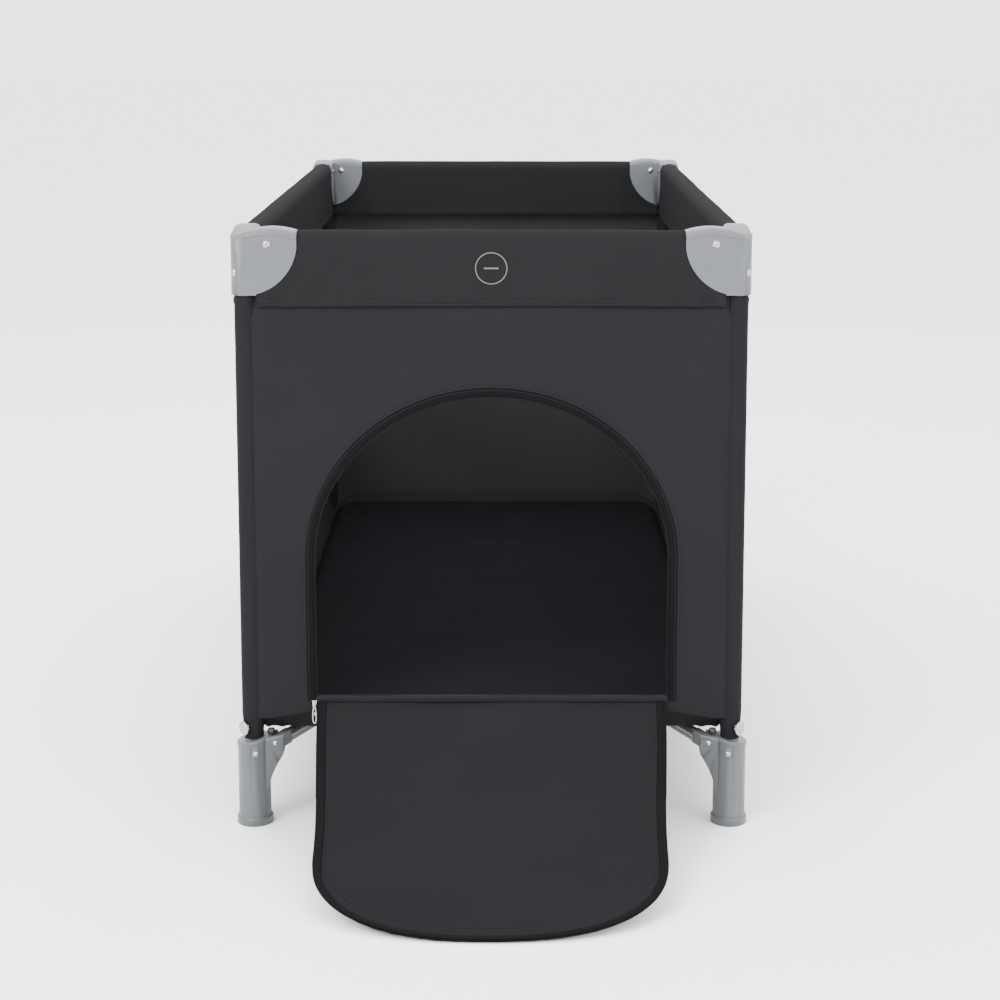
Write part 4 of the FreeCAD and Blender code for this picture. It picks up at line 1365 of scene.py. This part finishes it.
    def round_edge(self, tailor: Tailor, up: Vector) -> None:
        """Binding, stitches and zip teeth round the lower panel's sides and rounded end."""
        side = [self.crease_run + (self.corner_start - self.crease_run) * i / 16 for i in range(16)]
        outline = [(-self.width_at(r), r) for r in side]
        for i in range(121):
            across, run = self.outline(-1 + 2 * i / 120)
            outline.append((across * self.side_half, run))
        outline += [(self.width_at(r), r) for r in reversed(side)]
        lines = {}
        for key, inset in {"binding": 4.2 * MM, "stitches": self.hem, "teeth": -0.6 * MM}.items():
            points = []
            for i, (x, run) in enumerate(outline):
                before, after = outline[max(i - 1, 0)], outline[min(i + 1, len(outline) - 1)]
                along = Vector((after[0] - before[0], after[1] - before[1]))
                inward = Vector((along.y, -along.x)).normalized()
                if inward.dot(Vector((-x, 100 * MM - run))) < 0:
                    inward = -inward
                share = inset
                if key == "stitches":
                    widening = smooth_step((run - self.corner_start) / (60 * MM))
                    share = self.stitch_inset + (inset - self.stitch_inset) * widening
                point = self.place(x + inward.x * share, run + inward.y * share)
                points.append(point + Vector((0, 0, 1.0 * MM)))
            lines[key] = points
        self.dress_edge(tailor, lines, "lower", "door_lower", up)


# ---------------------------------------------------------------- zip slider

@dataclass
class ZipSlider:
    """The door's metal slider with its bail, and a pull tab with a hole."""

    edge_round: float = 1.0 * MM
    waist: float = 0.66
    bail_out: float = 2.4 * MM
    bail_up: float = 4.6 * MM
    bail_inset: float = 0.6 * MM

    def build(self, tailor: Tailor) -> None:
        """Make the slider and the pull."""
        low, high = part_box("zip_slider")
        middle_point = (low + high) / 2
        bm = bmesh.new()
        size = high - low
        scale = Matrix.Diagonal((size.x, size.y * 0.75, size.z, 1))
        bmesh.ops.create_cube(bm, size=1.0, matrix=Matrix.Translation(middle_point) @ scale)
        narrow = [v for v in bm.verts if v.co.z < middle_point.z]
        bmesh.ops.scale(bm, verts=narrow, vec=(self.waist, 1, 1), space=Matrix.Translation(-middle_point))
        softened_edges(bm, bm.edges[:], self.edge_round, 3)
        start = Vector((middle_point.x, low.y + self.bail_inset, middle_point.z))
        turns = (math.pi * i / 14 for i in range(15))
        bail = [start + Vector((0, -math.sin(t) * self.bail_out, math.cos(t) * self.bail_up)) for t in turns]
        join(bm, strip(bail, Vector((1, 0, 0)), 0.8 * MM, 1.1 * MM, 8))
        tailor.fit(bm, "slider", BRIGHT, "zip_slider", ("zip_slider",))
        low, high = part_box("zip_pull")
        centre = (low + high) / 2
        half = (high - low) / 2
        tab = [
            Vector((
                centre.x + half.x * 0.72 * math.sin(t) * (1.0 + 0.25 * math.cos(t)),
                centre.y,
                centre.z - half.z * 0.86 * math.cos(t),
            ))
            for t in (2 * math.pi * i / 40 for i in range(41))
        ]
        wire = strip(tab, Vector((0, -1, 0)), 0.95 * MM, 0.7 * MM, 8)
        tailor.fit(wire, "pull_tab", BRIGHT, "zip_pull", ("zip_pull",))


# ---------------------------------------------------------------- floor, mattress and strap

@dataclass
class Bedding:
    """The cloth floor in four quarters, the folding mattress and the hub's pull strap."""

    sections: int = 4
    crown: float = 1.5 * MM
    channel_depth: float = 1.6 * MM
    corner: float = 45 * MM
    skirt: float = 28.5 * MM
    skirt_rise: float = 34 * MM
    floor_corner: float = 74 * MM
    floor_thickness: float = 1.4 * MM
    floor_wave: float = 0.5 * MM
    floor_keep: float = 0.06
    edge_round: float = 9 * MM
    edge_drop: float = 8 * MM
    wrinkle: float = 0.9 * MM
    fill: float = 0.7
    strap_half: float = 4.5 * MM

    def build(self, tailor: Tailor) -> None:
        """Make the floor, the mattress and the strap."""
        self.floor(tailor)
        self.mattress(tailor)
        self.strap(tailor)

    def floor(self, tailor: Tailor) -> None:
        """Four quarters of the cloth floor, each hung on its own bar; how each would bunch as the frame folds
        is worked out but not set up.
        """
        low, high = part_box("floor_fabric")
        for corner in Corner:
            sx, sy = corner.value[1:]
            half = Vector((high.x, high.y))

            def shape(a: float, b: float) -> Vector:
                """Out from the middle by a and b, turned up at the walls."""
                full = half + Vector((self.skirt, self.skirt))
                x, y = a * full.x, b * full.y
                x, y = rounded(x, y, full.x, full.y, self.floor_corner)
                rise = max(0.0, x - half.x, y - half.y) / self.skirt * self.skirt_rise
                wave = rumple(Vector((sx * x, sy * y, 0)), 150 * MM, 5.0) * self.floor_wave
                return Vector((sx * x, sy * y, low.z + 1.6 * MM + rise + wave))

            bm = faced(mapped_grid(30, 56, shape, (half.x, half.y)), Vector((0, 0, 1)))
            bm = thicken(bm, self.floor_thickness)
            bar = "bar_" + corner.label
            tip, root = joint_place("hub_level"), joint_place(FOLD)
            along = Vector((tip.x - root.x, tip.y - root.y, 0)).normalized()
            across = Vector((along.y, -along.x, 0))
            across.x, across.y = across.x * -sx, across.y * -sy
            anchor = Vector((abs(root.x) * sx, abs(root.y) * sy, low.z))
            gather = Gather(tuple(across), tuple(anchor), self.floor_keep)
            nodes = ("floor_fabric",) if corner is Corner.FRONT_LEFT else ()
            piece = tailor.fit(bm, "floor_quarter_" + corner.label, BASE, bar, nodes, gather)

    def mattress(self, tailor: Tailor) -> None:
        """A thin mattress of four padded sections with sewn channels between them."""
        low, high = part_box("mattress")
        size = high - low
        centre = (low + high) / 2
        bm = bmesh.new()
        bmesh.ops.create_cube(bm, size=1.0)
        for axis, cuts in ((1, 119), (0, 55), (2, 5)):
            long = [e for e in bm.edges if abs((e.verts[0].co - e.verts[1].co)[axis]) > 0.5]
            bmesh.ops.subdivide_edges(bm, edges=long, cuts=cuts, use_grid_fill=True)
        for vert in bm.verts:
            x, y, z = vert.co * 2
            section = (y * 0.5 + 0.5) * self.sections
            channel = min(section % 1.0, 1.0 - section % 1.0) * size.y / self.sections
            inner = 0 < round(section) < self.sections
            dip = math.exp(-((channel / (4 * MM)) ** 2)) * self.channel_depth if inner else 0.0
            edge = min(1 - abs(x), (1 - abs(y)) * size.y / size.x) * size.x / 2
            rounding = max(0.0, 1 - edge / self.edge_round) ** 2 * self.edge_drop
            plump = smooth_step(channel / (50 * MM) + (0 if inner else 1))
            crown = smooth_step(edge / (60 * MM)) * plump * self.crown
            place = Vector((centre.x + x * size.x / 2, centre.y + y * size.y / 2, 0))
            wrinkle = rumple(place, 60 * MM, 8.0) * self.wrinkle
            half_height = size.z / 2 - self.crown + crown - dip - rounding + wrinkle
            place.z = centre.z + z * max(2 * MM, half_height)
            place.x, place.y = rounded(place.x, place.y, size.x / 2, size.y / 2, self.corner)
            vert.co = place
        bmesh.ops.recalc_face_normals(bm, faces=bm.faces[:])
        chart(bm, Vector((1, 0, 0)), Vector((0, 1, 0)))
        gather = Gather((0, 1, 0), (0, 0, 0), 1 / self.sections)
        mattress = tailor.fit(bm, "padded_mattress", MAT, "mattress", ("mattress",), gather, 60)

    def strap(self, tailor: Tailor) -> None:
        """A flat webbing loop on the hub."""
        low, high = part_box("hub_strap")
        centre, half = (low + high) / 2, (high - low) / 2
        straight = half.y - half.x
        loop = []
        for i in range(65):
            turn = 2 * math.pi * i / 64
            y = math.copysign(straight, math.sin(turn)) if abs(math.sin(turn)) > 1e-9 else 0.0
            bend = half.x - self.strap_half
            loop.append(centre + Vector((math.cos(turn) * bend, y + math.sin(turn) * bend, 0)))
        tape = strip(loop, Vector((0, 0, 1)), 4.4 * MM, 1.2 * MM, 8)
        tailor.fit(tape, "pull_strap", WEBBING, "hub", ("hub_strap",))


# ---------------------------------------------------------------- studio

@dataclass(frozen=True)
class Lamp:
    """One square soft light."""

    name: str
    place: tuple[float, float, float]
    size: float
    power: float


@dataclass
class Studio:
    """Pale floor, soft lights and the camera."""

    floor_half: float = 30.0
    glow: float = 3.2
    lamps: tuple[Lamp, ...] = (
        Lamp("key", (-2.0, -3.0, 2.9), 1.8, 170),
        Lamp("fill", (2.3, -2.6, 1.8), 2.2, 50),
        Lamp("top", (0.0, 0.6, 3.4), 2.6, 120),
    )
    aim: tuple[float, float, float] = (0.0, -0.3, 0.4)
    eye: tuple[float, float, float] = (0.0183, -3.218, 1.028)
    pitch: float = 9.06
    lens: float = 77.04
    shift: tuple[float, float] = (-0.0062, -0.15)

    def build(self) -> None:
        """Set up the floor, the world, the lights and the camera."""
        bm = bmesh.new()
        bmesh.ops.create_grid(bm, x_segments=1, y_segments=1, size=self.floor_half)
        mesh = bpy.data.meshes.new("studio_floor")
        bm.to_mesh(mesh)
        bm.free()
        floor = bpy.data.objects.new("studio_floor", mesh)
        bpy.context.scene.collection.objects.link(floor)
        paint, _, shader = blank_material("studio_paint")
        shader.inputs["Base Color"].default_value = (0.93, 0.93, 0.93, 1)
        shader.inputs["Roughness"].default_value = 0.9
        shader.inputs["Specular IOR Level"].default_value = 0.1
        mesh.materials.append(paint)
        world = bpy.data.worlds.new("studio_world")
        world.use_nodes = True
        backdrop = world.node_tree.nodes["Background"]
        backdrop.inputs["Color"].default_value = (1, 1, 1, 1)
        backdrop.inputs["Strength"].default_value = self.glow
        bpy.context.scene.world = world
        for lamp in self.lamps:
            self.hang(lamp)
        camera = bpy.data.cameras.new("camera")
        camera.sensor_width = 36
        camera.lens = self.lens
        camera.shift_x, camera.shift_y = self.shift
        holder = bpy.data.objects.new("camera", camera)
        holder.location = self.eye
        holder.rotation_euler = (math.radians(90 - self.pitch), 0, 0)
        bpy.context.scene.collection.objects.link(holder)
        bpy.context.scene.camera = holder

    def hang(self, lamp: Lamp) -> None:
        """Hang a square soft light aimed at the cot's middle."""
        light = bpy.data.lights.new(lamp.name, "AREA")
        light.energy = lamp.power
        light.size = lamp.size
        holder = bpy.data.objects.new(lamp.name, light)
        holder.location = lamp.place
        aim = Vector(self.aim) - Vector(lamp.place)
        holder.rotation_euler = aim.to_track_quat("-Z", "Y").to_euler()
        bpy.context.scene.collection.objects.link(holder)


def main() -> None:
    """Build the whole cot around the frame."""
    logging.basicConfig(level=logging.INFO, format="%(name)s: %(message)s")
    tailor = Tailor()
    Studio().build()
    Hardware().build(tailor)
    RailCovers().build(tailor)
    Sleeves().build(tailor)
    Walls().build(tailor)
    DoorFlap().build(tailor)
    ZipSlider().build(tailor)
    Bedding().build(tailor)
    LOG.info("%d pieces", len(tailor.made))


if __name__ == "__main__":
    main()
